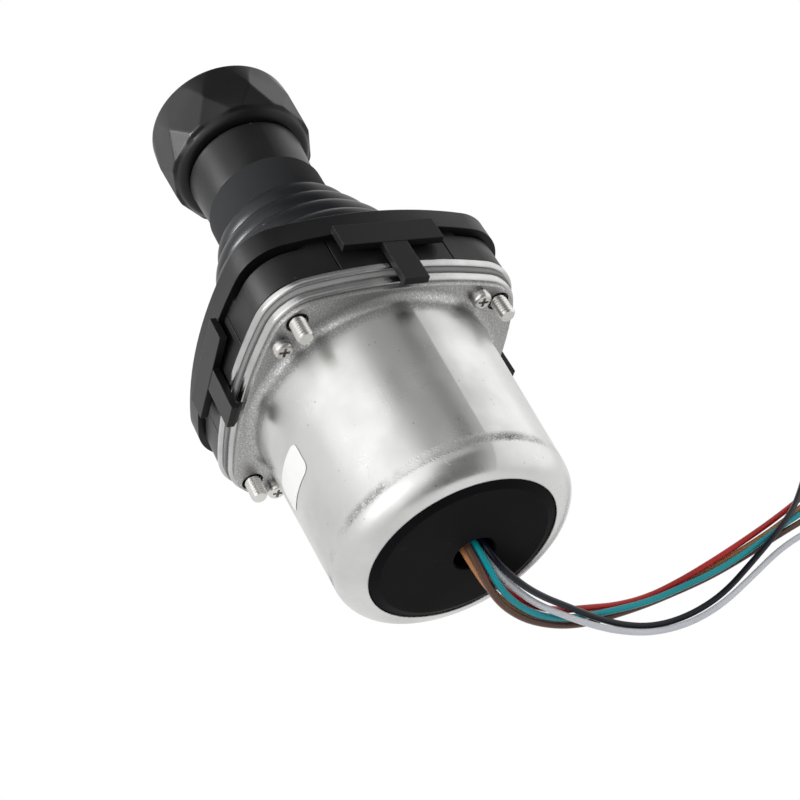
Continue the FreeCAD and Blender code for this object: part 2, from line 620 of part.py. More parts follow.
def mounting_screws():
    """Four long screws: heads under the bezel, tips past the flange."""
    head_seat = HOUSING_HEIGHT - CORNER_GAP_DEPTH - MOUNT_HEAD_HEIGHT
    head_top = head_seat + MOUNT_HEAD_HEIGHT
    tip = FLANGE_BOTTOM - MOUNT_SCREW_PROUD
    screws = []
    for x, y in mount_places():
        thread = cylinder(MOUNT_SCREW_RADIUS, tip, FLANGE_BOTTOM, x, y)
        thread = thread.makeChamfer(MOUNT_TIP_BEVEL, level_edges(thread, tip))
        screw = thread.fuse(cylinder(MOUNT_SHANK_RADIUS, FLANGE_BOTTOM, head_seat, x, y))
        screw = screw.fuse(cylinder(MOUNT_HEAD_RADIUS, head_seat, head_top, x, y))
        screws.append(screw.cut(cross_recess(x, y, head_top, False)))
    return Part.makeCompound(screws)


def can_screws():
    """Four pan-head screws that hold the can, seen from its side."""
    seat = FLANGE_BOTTOM - WASHER_THICKNESS
    face = seat - CAN_SCREW_HEAD_HEIGHT
    screws = []
    for x, y in screw_places():
        head = cylinder(CAN_SCREW_HEAD_RADIUS, face, seat, x, y)
        head = head.makeFillet(0.8, level_edges(head, face))
        screw = head.fuse(cylinder(CAN_SCREW_RADIUS, seat, seat + CAN_SCREW_LENGTH, x, y))
        screws.append(screw.cut(cross_recess(x, y, face, True)))
    return Part.makeCompound(screws)


def spring_washers():
    """Split spring washers under the can screws."""
    washers = []
    for x, y in screw_places():
        ring = cylinder(WASHER_RADIUS, FLANGE_BOTTOM - WASHER_THICKNESS, FLANGE_BOTTOM, x, y)
        ring = ring.cut(cylinder(CAN_SCREW_RADIUS + CAN_SCREW_CLEARANCE, FLANGE_BOTTOM - WASHER_THICKNESS,
                                 FLANGE_BOTTOM, x, y))
        gap = box(x, x + WASHER_RADIUS + 1, y - 0.2, y + 0.2, FLANGE_BOTTOM - WASHER_THICKNESS, FLANGE_BOTTOM)
        washers.append(ring.cut(gap))
    return Part.makeCompound(washers)


def outer_pivot_pins():
    """Two pins in the housing that carry the gimbal ring."""
    inner = GIMBAL_INNER + PIN_END_GAP
    length = OUTER_PIN_END - inner
    right = Part.makeCylinder(PIVOT_PIN_RADIUS, length, Vector(inner, 0, PIVOT_HEIGHT), ALONG_X)
    left = Part.makeCylinder(PIVOT_PIN_RADIUS, length, Vector(-OUTER_PIN_END, 0, PIVOT_HEIGHT), ALONG_X)
    return Part.makeCompound([right, left])


def inner_pivot_pins():
    """Two pins in the lever hub that turn in the gimbal ring."""
    start = TUBE_RADIUS + 2 * FIT
    length = GIMBAL_OUTER - PIN_END_GAP - start
    front = Part.makeCylinder(PIVOT_PIN_RADIUS, length, Vector(0, start, PIVOT_HEIGHT), ALONG_Y)
    back = Part.makeCylinder(PIVOT_PIN_RADIUS, length, Vector(0, -start - length, PIVOT_HEIGHT), ALONG_Y)
    return Part.makeCompound([front, back])


def cross_bores(radius, reach):
    """Bores along X and Y through the pivot centre."""
    one = Part.makeCylinder(radius, 2 * reach, Vector(-reach, 0, PIVOT_HEIGHT), ALONG_X)
    other = Part.makeCylinder(radius, 2 * reach, Vector(0, -reach, PIVOT_HEIGHT), ALONG_Y)
    return one.fuse(other)


def gimbal_ring():
    """Ring between the two pairs of pivot pins."""
    half = GIMBAL_HEIGHT / 2
    ring = tube(GIMBAL_OUTER, GIMBAL_INNER, PIVOT_HEIGHT - half, PIVOT_HEIGHT + half)
    rims = level_edges(ring, PIVOT_HEIGHT - half) + level_edges(ring, PIVOT_HEIGHT + half)
    ring = ring.makeChamfer(0.5, rims)
    bore = PIVOT_PIN_RADIUS + RUNNING_FIT + BUSH_WALL + FIT
    return ring.cut(cross_bores(bore, GIMBAL_OUTER + 1))


def gimbal_bushes():
    """Four plain bushes in the gimbal ring."""
    inner = PIVOT_PIN_RADIUS + RUNNING_FIT
    outer = inner + BUSH_WALL
    bush = Part.makeCylinder(outer, GIMBAL_OUTER - GIMBAL_INNER, Vector(GIMBAL_INNER, 0, PIVOT_HEIGHT), ALONG_X)
    bush = bush.cut(Part.makeCylinder(inner, GIMBAL_OUTER, Vector(0, 0, PIVOT_HEIGHT), ALONG_X))
    half = GIMBAL_HEIGHT / 2
    envelope = tube(GIMBAL_OUTER, GIMBAL_INNER, PIVOT_HEIGHT - half, PIVOT_HEIGHT + half)
    return Part.makeCompound(quarters(bush.common(envelope)))


def pivot_hub():
    """Hub on the lever tube that holds the inner pins."""
    half = HUB_HEIGHT / 2
    hub = tube(HUB_RADIUS, TUBE_RADIUS + FIT, PIVOT_HEIGHT - half, PIVOT_HEIGHT + half)
    bore = Part.makeCylinder(PIVOT_PIN_RADIUS + FIT, 2 * HUB_RADIUS, Vector(0, -HUB_RADIUS, PIVOT_HEIGHT), ALONG_Y)
    return hub.cut(bore)


def lever_tube():
    """Steel tube that carries the sleeve, the hub and the magnet carrier."""
    return tube(TUBE_RADIUS, TWIST_SHAFT_RADIUS + RUNNING_FIT, TUBE_BOTTOM, TUBE_TOP)


def spring_cup():
    """Cup on the lever tube for the upper end of the return spring."""
    top = SLEEVE_BOTTOM
    bore = TUBE_RADIUS + FIT
    flange_top = SPRING_CUP_BASE + SPRING_CUP_FLANGE
    return revolve([
        (bore, SPRING_CUP_BASE - SPRING_CUP_SKIRT), (SPRING_CUP_HUB, SPRING_CUP_BASE - SPRING_CUP_SKIRT),
        (SPRING_CUP_HUB, SPRING_CUP_BASE),
        (SPRING_CUP_RADIUS, SPRING_CUP_BASE), (SPRING_CUP_RADIUS, flange_top), (SPRING_CUP_HUB, flange_top),
        (SPRING_CUP_HUB, top), (bore, top),
    ])


def grip_sleeve():
    """Hollow sleeve between the boot and the knob."""
    bore = TUBE_RADIUS + FIT
    inner = SLEEVE_SPIGOT - SLEEVE_WALL
    step = NECK_TOP + 0.2
    sleeve = revolve([
        (bore, SLEEVE_BOTTOM), (SLEEVE_SPIGOT, SLEEVE_BOTTOM), (SLEEVE_SPIGOT, step),
        (SLEEVE_LOWER_RADIUS, step), (SLEEVE_UPPER_RADIUS, SLEEVE_TOP), (bore, SLEEVE_TOP),
        (bore, SLEEVE_TOP - SLEEVE_WALL), (inner, SLEEVE_TOP - SLEEVE_WALL),
        (inner, SLEEVE_BOTTOM + SLEEVE_WALL), (bore, SLEEVE_BOTTOM + SLEEVE_WALL),
    ])
    rim = [e for e in level_edges(sleeve, SLEEVE_TOP) if e.Length > 2 * math.pi * SLEEVE_LOWER_RADIUS]
    return sleeve.makeFillet(SLEEVE_ROUND, rim)


def bent_path(points, radii):
    """Straight runs joined by tangent arcs; each bend's radius is added to the list."""
    edges = []
    start = points[0]
    for before, corner, after in zip(points, points[1:], points[2:]):
        into = (before - corner).normalize()
        out = (after - corner).normalize()
        reach = BEND_SHARE * min((before - corner).Length, (after - corner).Length)
        half_turn = (math.pi - into.getAngle(out)) / 2
        radius = reach / math.tan(half_turn)
        radii.append(radius)
        bisector = (into + out).normalize()
        middle = corner + bisector * (math.hypot(reach, radius) - radius)
        entry = corner + into * reach
        leave = corner + out * reach
        edges.append(Part.LineSegment(start, entry).toShape())
        edges.append(Part.Arc(entry, middle, leave).toShape())
        start = leave
    edges.append(Part.LineSegment(start, points[-1]).toShape())
    return Part.Wire(edges)


def round_bar(path, points, diameter):
    """Solid with a round section along a path."""
    direction = (points[1] - points[0]).normalize()
    section = Part.Wire(Part.makeCircle(diameter / 2, points[0], direction))
    return path.makePipeShell([section], True, False)


def coil(top_radius, bottom_radius, bottom, top, turns, wire):
    """Coil spring that may widen downwards, bent in equal steps round each turn."""
    steps = turns * COIL_CORNERS
    widen = 1 / math.cos(math.pi / COIL_CORNERS)
    points = []
    for index in range(steps + 1):
        share = index / steps
        radius = widen * (bottom_radius + (top_radius - bottom_radius) * share)
        angle = 2 * math.pi * index / COIL_CORNERS
        points.append(Vector(radius * math.cos(angle), radius * math.sin(angle), bottom + (top - bottom) * share))
    return round_bar(bent_path(points, []), points, wire)


def return_spring():
    """Tapering spring between the housing and the cup on the lever."""
    half = RETURN_SPRING_WIRE / 2
    bottom = HOUSING_HEIGHT + half + SPRING_SEAT
    top = SPRING_CUP_BASE - half - SPRING_SEAT
    return coil(RETURN_SPRING_TOP, RETURN_SPRING_BASE, bottom, top, RETURN_SPRING_TURNS, RETURN_SPRING_WIRE)


def magnet_carrier():
    """Carrier on the lower end of the tube, round the twist magnet."""
    bore = TUBE_RADIUS + FIT
    well = TWIST_MAGNET_RADIUS + 0.4
    groove_roof = MAGNET_CARRIER_BOTTOM + RING_MAGNET_HEIGHT
    return revolve([
        (bore, MAGNET_CARRIER_TOP), (MAGNET_CARRIER_RADIUS, MAGNET_CARRIER_TOP),
        (MAGNET_CARRIER_RADIUS, MAGNET_CARRIER_BOTTOM), (RING_MAGNET_OUTER + FIT, MAGNET_CARRIER_BOTTOM),
        (RING_MAGNET_OUTER + FIT, groove_roof), (RING_MAGNET_INNER - FIT, groove_roof),
        (RING_MAGNET_INNER - FIT, MAGNET_CARRIER_BOTTOM), (well, MAGNET_CARRIER_BOTTOM),
        (well, TUBE_BOTTOM), (bore, TUBE_BOTTOM),
    ])


def ring_magnet():
    """Ring magnet that the tilt sensors read."""
    top = MAGNET_CARRIER_BOTTOM + RING_MAGNET_HEIGHT
    return tube(RING_MAGNET_OUTER, RING_MAGNET_INNER, MAGNET_CARRIER_BOTTOM, top)


def twist_magnet():
    """Disc magnet on the end of the twist shaft."""
    top = TUBE_BOTTOM - SEAT_GAP
    return cylinder(TWIST_MAGNET_RADIUS, top - TWIST_MAGNET_HEIGHT, top)


def twist_shaft():
    """Shaft from the knob down through the lever tube."""
    return cylinder(TWIST_SHAFT_RADIUS, TUBE_BOTTOM - SEAT_GAP, KNOB_CAP_SEAT + NUT_HEIGHT)


def decagon(apothem, turn):
    """Regular outline with a flat face centred on the turn angle."""
    corner = apothem / math.cos(math.pi / KNOB_FACETS)
    points = []
    for index in range(KNOB_FACETS + 1):
        angle = math.radians(turn) + (index + 0.5) * 2 * math.pi / KNOB_FACETS
        points.append(Vector(corner * math.cos(angle), corner * math.sin(angle), 0))
    return Part.makePolygon(points)


def crown_ball():
    """Large ball that gives the knob its gently domed top."""
    return Part.makeSphere(CROWN_RADIUS, Vector(0, 0, KNOB_TOP + KNOB_CROWN - CROWN_RADIUS))


def knob_envelope():
    """Turned blank of the knob with its rounded lower and upper edges."""
    low = KNOB_LOW_APOTHEM / math.cos(math.pi / KNOB_FACETS)
    wide = KNOB_CORNER_RADIUS + 0.1
    top = KNOB_TOP + KNOB_CROWN + 1.0
    bend = (low - KNOB_EDGE_ROUND, KNOB_BOTTOM + KNOB_EDGE_ROUND)
    belt = KNOB_TOP - KNOB_FACET_DROP
    edges = [
        line((0, KNOB_BOTTOM), (bend[0], KNOB_BOTTOM)),
        arc((bend[0], KNOB_BOTTOM), on_circle(bend, KNOB_EDGE_ROUND, -45), (low, bend[1])),
        line((low, bend[1]), (wide, belt)),
        line((wide, belt), (wide, top)),
        line((wide, top), (0, top)),
        line((0, top), (0, KNOB_BOTTOM)),
    ]
    return revolve_edges(edges)


def knob_body():
    """Knob with ten upright facets over ten facets that lean the other way, half a step round."""
    step = 180.0 / KNOB_FACETS
    total = KNOB_HEIGHT + KNOB_CROWN
    apothem = KNOB_CORNER_RADIUS * math.cos(math.radians(step))
    prism = Part.Face(decagon(apothem, KNOB_TURN + step)).extrude(Vector(0, 0, total))
    prism.translate(Vector(0, 0, KNOB_BOTTOM))
    slope = (KNOB_CORNER_RADIUS - KNOB_LOW_APOTHEM) / (KNOB_HEIGHT - KNOB_FACET_DROP)
    low = decagon(KNOB_LOW_APOTHEM, KNOB_TURN)
    low.translate(Vector(0, 0, KNOB_BOTTOM))
    high = decagon(KNOB_LOW_APOTHEM + slope * total, KNOB_TURN)
    high.translate(Vector(0, 0, KNOB_BOTTOM + total))
    body = prism.common(Part.makeLoft([low, high], True, True))
    body = body.common(knob_envelope()).common(crown_ball())
    body = body.cut(cylinder(KNOB_CAVITY, KNOB_BOTTOM, KNOB_ROOF_HEIGHT))
    body = body.cut(cylinder(TWIST_SHAFT_RADIUS + FIT, KNOB_BOTTOM, KNOB_TOP))
    return body.cut(cylinder(KNOB_CAP_RADIUS + FIT, KNOB_CAP_SEAT, KNOB_TOP + KNOB_CROWN))


def knob_cap():
    """Plain domed cap pressed into the top of the knob, hollow over the nut."""
    dome = cylinder(KNOB_CAP_RADIUS, KNOB_CAP_SEAT, KNOB_TOP + KNOB_CROWN).common(crown_ball())
    return dome.cut(cylinder(NUT_RADIUS + 1.0, KNOB_CAP_SEAT, KNOB_CAP_SEAT + NUT_HEIGHT + SEAT_GAP))


def knob_nut():
    """Hexagon nut that holds the knob on the twist shaft."""
    corners = []
    for index in range(7):
        angle = math.radians(60 * index)
        corners.append(Vector(NUT_RADIUS * math.cos(angle), NUT_RADIUS * math.sin(angle), KNOB_CAP_SEAT))
    nut = Part.Face(Part.makePolygon(corners)).extrude(Vector(0, 0, NUT_HEIGHT))
    return nut.cut(cylinder(TWIST_SHAFT_RADIUS + FIT, KNOB_CAP_SEAT, KNOB_CAP_SEAT + NUT_HEIGHT))


def knob_base_plate():
    """Plate inside the knob that runs on the lever tube."""
    return tube(KNOB_CAVITY - FIT, TUBE_RADIUS + RUNNING_FIT, BASE_PLATE_BOTTOM, BASE_PLATE_TOP)


def retaining_ring():
    """Open ring in the tube that keeps the knob on."""
    ring = tube(CLIP_RING_RADIUS, TUBE_RADIUS, RETAINING_RING_BOTTOM, RETAINING_RING_TOP)
    return ring.cut(box(0, CLIP_RING_RADIUS + 1, -2.0, 2.0, RETAINING_RING_BOTTOM, RETAINING_RING_TOP))


def twist_spring():
    """Coil that turns the knob back to its middle."""
    half = TWIST_SPRING_WIRE / 2
    bottom = RETAINING_RING_TOP + half + SPRING_SEAT
    top = KNOB_ROOF_HEIGHT - half - SPRING_SEAT
    return coil(TWIST_SPRING_RADIUS, TWIST_SPRING_RADIUS, bottom, top, TWIST_SPRING_TURNS, TWIST_SPRING_WIRE)


def sensor_board():
    """Round circuit board under the magnets."""
    board = cylinder(BOARD_RADIUS, BOARD_BOTTOM, BOARD_TOP)
    return drilled(board, standoff_places(), BOARD_SCREW_RADIUS + 0.1, BOARD_BOTTOM, BOARD_TOP)


def board_standoffs():
    """Four pillars from the lower plate down to the board."""
    pillars = []
    for x, y in standoff_places():
        pillar = cylinder(STANDOFF_RADIUS, BOARD_TOP, FLANGE_TOP, x, y)
        depth = BOARD_SCREW_LENGTH - BOARD_THICKNESS
        pillars.append(pillar.cut(cylinder(BOARD_SCREW_RADIUS + FIT, BOARD_TOP, BOARD_TOP + depth, x, y)))
    return Part.makeCompound(pillars)


def board_screws():
    """Four screws through the board into the pillars."""
    screws = []
    for x, y in standoff_places():
        head = cylinder(BOARD_SCREW_HEAD_RADIUS, BOARD_BOTTOM - BOARD_SCREW_HEAD_HEIGHT, BOARD_BOTTOM, x, y)
        shank = cylinder(BOARD_SCREW_RADIUS, BOARD_BOTTOM, BOARD_BOTTOM + BOARD_SCREW_LENGTH - 0.1, x, y)
        screws.append(head.fuse(shank))
    return Part.makeCompound(screws)


def hall_sensors():
    """Five sensor chips on the upper face of the board."""
    half_w, half_l = CHIP_WIDTH / 2, CHIP_LENGTH / 2
    centre = box(-half_w, half_w, -half_l, half_l, BOARD_TOP, BOARD_TOP + CHIP_HEIGHT)
    side = box(CHIP_CIRCLE - half_l, CHIP_CIRCLE + half_l, -half_w, half_w, BOARD_TOP, BOARD_TOP + CHIP_HEIGHT)
    return Part.makeCompound([centre] + quarters(side))


def lead_connector():
    """Block on the lower face of the board where the six leads start."""
    x, y = -0.6, CONNECTOR_Y
    return box(x - CONNECTOR_WIDTH / 2, x + CONNECTOR_WIDTH / 2, y - CONNECTOR_LENGTH / 2, y + CONNECTOR_LENGTH / 2,
               CONNECTOR_BOTTOM, BOARD_BOTTOM)


def lead(name):
    """One lead from the connector outwards, with its length and least bend radius printed."""
    points = [Vector(*p) for p in LEAD_ROUTES[name]]
    points[0].x = CONNECTOR_BOTTOM - FLANGE_BOTTOM
    radii = []
    path = bent_path(points, radii)
    print(name, "length", round(path.Length, 1), "least radius", round(min(radii), 1))
    return round_bar(path, points, LEAD_DIAMETER)


STANDING = {
    "can": can,
    "end_plug": end_plug,
    "lower_plate": lower_plate,
    "spacer_plate": spacer_plate,
    "upper_plate": upper_plate,
    "housing_block": housing_block,
    "bezel_frame": bezel_frame,
    "rubber_boot": rubber_boot,
    "mounting_screws": mounting_screws,
    "can_screws": can_screws,
    "spring_washers": spring_washers,
    "outer_pivot_pins": outer_pivot_pins,
    "inner_pivot_pins": inner_pivot_pins,
    "gimbal_ring": gimbal_ring,
    "gimbal_bushes": gimbal_bushes,
    "pivot_hub": pivot_hub,
    "lever_tube": lever_tube,
    "spring_cup": spring_cup,
    "grip_sleeve": grip_sleeve,
    "return_spring": return_spring,
    "magnet_carrier": magnet_carrier,
    "ring_magnet": ring_magnet,
    "twist_magnet": twist_magnet,
    "twist_shaft": twist_shaft,
    "twist_spring": twist_spring,
    "retaining_ring": retaining_ring,
    "knob_body": knob_body,
    "knob_cap": knob_cap,
    "knob_nut": knob_nut,
    "knob_base_plate": knob_base_plate,
    "sensor_board": sensor_board,
    "board_standoffs": board_standoffs,
    "board_screws": board_screws,
    "hall_sensors": hall_sensors,
    "lead_connector": lead_connector,
}

for node, build in STANDING.items():
    piece = build()
    piece.Placement = LYING_DOWN.multiply(piece.Placement)
    piece.exportStep("parts/" + node + ".step")

for node in LEAD_ROUTES:
    lead(node).exportStep("parts/" + node + ".step")
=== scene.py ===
import json
import logging
import math
from dataclasses import dataclass, field
from enum import Enum

import bmesh
import bpy
from mathutils import Matrix, Vector

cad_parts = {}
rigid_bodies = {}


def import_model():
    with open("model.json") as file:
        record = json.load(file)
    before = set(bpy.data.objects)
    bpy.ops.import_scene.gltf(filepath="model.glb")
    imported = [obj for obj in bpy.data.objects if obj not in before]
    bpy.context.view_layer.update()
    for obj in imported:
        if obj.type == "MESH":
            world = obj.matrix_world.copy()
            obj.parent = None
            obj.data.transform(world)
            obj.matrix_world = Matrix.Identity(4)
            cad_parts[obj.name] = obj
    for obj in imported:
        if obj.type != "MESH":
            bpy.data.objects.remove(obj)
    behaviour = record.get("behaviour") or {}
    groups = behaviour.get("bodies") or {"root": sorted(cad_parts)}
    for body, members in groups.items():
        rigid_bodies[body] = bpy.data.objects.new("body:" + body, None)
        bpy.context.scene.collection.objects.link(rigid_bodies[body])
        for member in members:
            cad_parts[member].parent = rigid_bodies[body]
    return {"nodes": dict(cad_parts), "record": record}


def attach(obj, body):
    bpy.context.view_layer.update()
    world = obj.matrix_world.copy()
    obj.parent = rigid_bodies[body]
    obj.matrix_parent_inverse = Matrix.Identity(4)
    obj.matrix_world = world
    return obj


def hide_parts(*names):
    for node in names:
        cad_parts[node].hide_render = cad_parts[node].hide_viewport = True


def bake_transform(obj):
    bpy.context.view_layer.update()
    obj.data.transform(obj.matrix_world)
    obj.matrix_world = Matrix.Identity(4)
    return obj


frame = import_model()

LOG = logging.getLogger("joystick")
MM = 0.001
STACK_HEIGHT = 6.5
FLOOR = -36.5
FLOOR_GAP = 0.00005
SHARP_ANGLE = math.radians(35)
BUMP_DISTANCE = 0.0001
QUARTER_TURN = 1.5708
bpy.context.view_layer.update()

Colour = tuple[float, float, float]
Point = tuple[float, float, float]
Profile = list[tuple[float, float]]
Face = tuple[int, ...]
Surface = tuple[bpy.types.NodeSocket, bpy.types.NodeSocket, bpy.types.NodeSocket]


def standing(x: float, y: float, z: float) -> Vector:
    """Turns a point of the upright joystick into the lying frame.

    Args:
        x: Towards the upper clip, in millimetres.
        y: To the side, in millimetres.
        z: Along the lever from the housing's foot, in millimetres.

    Returns:
        The point in metres.
    """
    return Vector(((z + STACK_HEIGHT) * MM, -y * MM, x * MM))


class Shade(Enum):
    """How the faces of a mesh are shaded."""

    SMOOTH = "smooth"
    BY_ANGLE = "by_angle"


class Tree:
    """Adds and joins the nodes of one node tree."""

    def __init__(self, tree: bpy.types.NodeTree) -> None:
        """Keeps the tree that nodes are added to."""
        self.tree = tree

    def add(self, kind: str, values: dict | None = None, **settings: object) -> bpy.types.Node:
        """Adds a node.

        Args:
            kind: Blender's name of the node type.
            values: Input name or index to a value or to another node's output.
            **settings: Attributes of the node.

        Returns:
            The new node.
        """
        node = self.tree.nodes.new(kind)
        for name, value in settings.items():
            setattr(node, name, value)
        for key, value in (values or {}).items():
            if isinstance(value, bpy.types.NodeSocket):
                self.link(value, node.inputs[key])
            else:
                node.inputs[key].default_value = value
        return node

    def link(self, source: bpy.types.NodeSocket, target: bpy.types.NodeSocket) -> None:
        """Joins an output to an input."""
        self.tree.links.new(source, target)

    def math(self, operation: str, a: object, b: object = 0.0, clamp: bool = False) -> bpy.types.NodeSocket:
        """Adds a math node and returns its output."""
        return self.add("ShaderNodeMath", {0: a, 1: b}, operation=operation, use_clamp=clamp).outputs[0]

    def remap(self, value: object, low: float, high: float, to_low: float = 0.0,
              to_high: float = 1.0) -> bpy.types.NodeSocket:
        """Adds a smooth remap of a value and returns its output."""
        values = {0: value, 1: low, 2: high, 3: to_low, 4: to_high}
        return self.add("ShaderNodeMapRange", values, interpolation_type="SMOOTHSTEP").outputs[0]

    def blend(self, factor: object, a: object, b: object) -> bpy.types.NodeSocket:
        """Adds a colour mix and returns its output."""
        return self.add("ShaderNodeMix", {0: factor, 6: a, 7: b}, data_type="RGBA").outputs[2]

    def noise(self, vector: object, scale: float, detail: float = 3.0, rough: float = 0.5) -> bpy.types.NodeSocket:
        """Adds a noise texture and returns its value."""
        values = {"Vector": vector, "Scale": scale, "Detail": detail, "Roughness": rough}
        return self.add("ShaderNodeTexNoise", values).outputs[0]

    def stretched(self, vector: object, scale: tuple[float, float, float],
                  turn: tuple[float, float, float] = (0.0, 0.0, 0.0)) -> bpy.types.NodeSocket:
        """Adds a mapping that stretches coordinates and returns its output."""
        values = {"Vector": vector, "Scale": scale, "Rotation": turn}
        return self.add("ShaderNodeMapping", values).outputs[0]


def colour(value: Colour) -> tuple[float, float, float, float]:
    """Adds an alpha of one to a colour."""
    return (*value, 1.0)


def new_group(name: str, inputs: dict[str, float], outputs: list[str]) -> tuple[Tree, bpy.types.Node, bpy.types.Node]:
    """Makes a shader node group with a vector input, named value inputs and named outputs.

    Args:
        name: The group's name.
        inputs: Name of each value input and its default.
        outputs: Name of each value output.

    Returns:
        The tree helper, the input node and the output node.
    """
    group = bpy.data.node_groups.new(name, "ShaderNodeTree")
    group.interface.new_socket("Vector", in_out="INPUT", socket_type="NodeSocketVector")
    for label, default in inputs.items():
        group.interface.new_socket(label, in_out="INPUT", socket_type="NodeSocketFloat").default_value = default
    for label in outputs:
        group.interface.new_socket(label, in_out="OUTPUT", socket_type="NodeSocketFloat")
    tree = Tree(group)
    return tree, tree.add("NodeGroupInput"), tree.add("NodeGroupOutput")


class SharedEffects:
    """Shader groups that several finishes use."""

    EDGE_BEND = (0.01, 0.16)
    RUB_SPOTS = (0.35, 0.62, 0.25, 1.0)
    TONE_RANGE = (0.3, 0.7)
    LINE_STRETCH = (260.0, 9.0, 260.0)
    LINE_TURNS = (((0.3, 0.4, 0.9), 0.004), ((1.1, -0.6, 0.2), 0.003))
    LINE_GATE = (-0.05, 0.1)
    SPECK_EDGE = (0.22, 0.1)

    def __init__(self) -> None:
        """Builds each group once."""
        self.wear = self.build_wear()
        self.grain = self.build_grain()
        self.scratches = self.build_scratches()
        self.dust = self.build_dust()

    def build_wear(self) -> bpy.types.NodeTree:
        """Mask of rubbed edges, broken up by noise."""
        tree, source, sink = new_group("edge_wear", {"Radius": 0.0004, "Breakup": 900.0}, ["Mask"])
        soft = tree.add("ShaderNodeBevel", {"Radius": source.outputs["Radius"]}, samples=4).outputs[0]
        plain = tree.add("ShaderNodeNewGeometry").outputs["Normal"]
        dot = tree.add("ShaderNodeVectorMath", {0: soft, 1: plain}, operation="DOT_PRODUCT").outputs["Value"]
        bend = tree.remap(tree.math("SUBTRACT", 1.0, dot), *self.EDGE_BEND)
        spots = tree.add("ShaderNodeTexNoise", {"Vector": source.outputs["Vector"], "Detail": 4.0,
                                                "Scale": source.outputs["Breakup"]}).outputs[0]
        rubbed = tree.math("MULTIPLY", bend, tree.remap(spots, *self.RUB_SPOTS))
        tree.link(rubbed, sink.inputs["Mask"])
        return tree.tree

    def build_grain(self) -> bpy.types.NodeTree:
        """Fine moulded or cast grain with a slow tone change."""
        tree, source, sink = new_group("fine_grain", {"Scale": 2200.0, "Slow Scale": 60.0}, ["Height", "Tone"])
        vector = source.outputs["Vector"]
        fine = tree.add("ShaderNodeTexNoise", {"Vector": vector, "Scale": source.outputs["Scale"], "Detail": 2.0})
        slow = tree.add("ShaderNodeTexNoise", {"Vector": vector, "Scale": source.outputs["Slow Scale"],
                                               "Detail": 4.0})
        tree.link(fine.outputs[0], sink.inputs["Height"])
        tree.link(tree.remap(slow.outputs[0], *self.TONE_RANGE), sink.inputs["Tone"])
        return tree.tree

    def build_scratches(self) -> bpy.types.NodeTree:
        """Thin broken lines in two directions."""
        tree, source, sink = new_group("scratches", {"Density": 0.5}, ["Mask"])
        vector = source.outputs["Vector"]
        lines = []
        for turn, gap in self.LINE_TURNS:
            long = tree.stretched(vector, self.LINE_STRETCH, turn)
            away = tree.math("ABSOLUTE", tree.math("SUBTRACT", tree.noise(long, 1.0, 1.0), 0.5))
            lines.append(tree.remap(away, gap, gap * 0.2))
        both = tree.math("MAXIMUM", lines[0], lines[1])
        gate = tree.math("SUBTRACT", source.outputs["Density"], tree.noise(vector, 110.0, 2.0))
        tree.link(tree.math("MULTIPLY", both, tree.remap(gate, *self.LINE_GATE)), sink.inputs["Mask"])
        return tree.tree

    def build_dust(self) -> bpy.types.NodeTree:
        """Small scattered specks."""
        tree, source, sink = new_group("dust", {"Scale": 700.0, "Share": 0.1}, ["Mask"])
        cells = tree.add("ShaderNodeTexVoronoi", {"Vector": source.outputs["Vector"],
                                                  "Scale": source.outputs["Scale"]})
        near = tree.remap(cells.outputs["Distance"], *self.SPECK_EDGE)
        tint = tree.add("ShaderNodeSeparateColor", {0: cells.outputs["Color"]}).outputs[0]
        chosen = tree.math("LESS_THAN", tint, source.outputs["Share"])
        tree.link(tree.math("MULTIPLY", near, chosen), sink.inputs["Mask"])
        return tree.tree


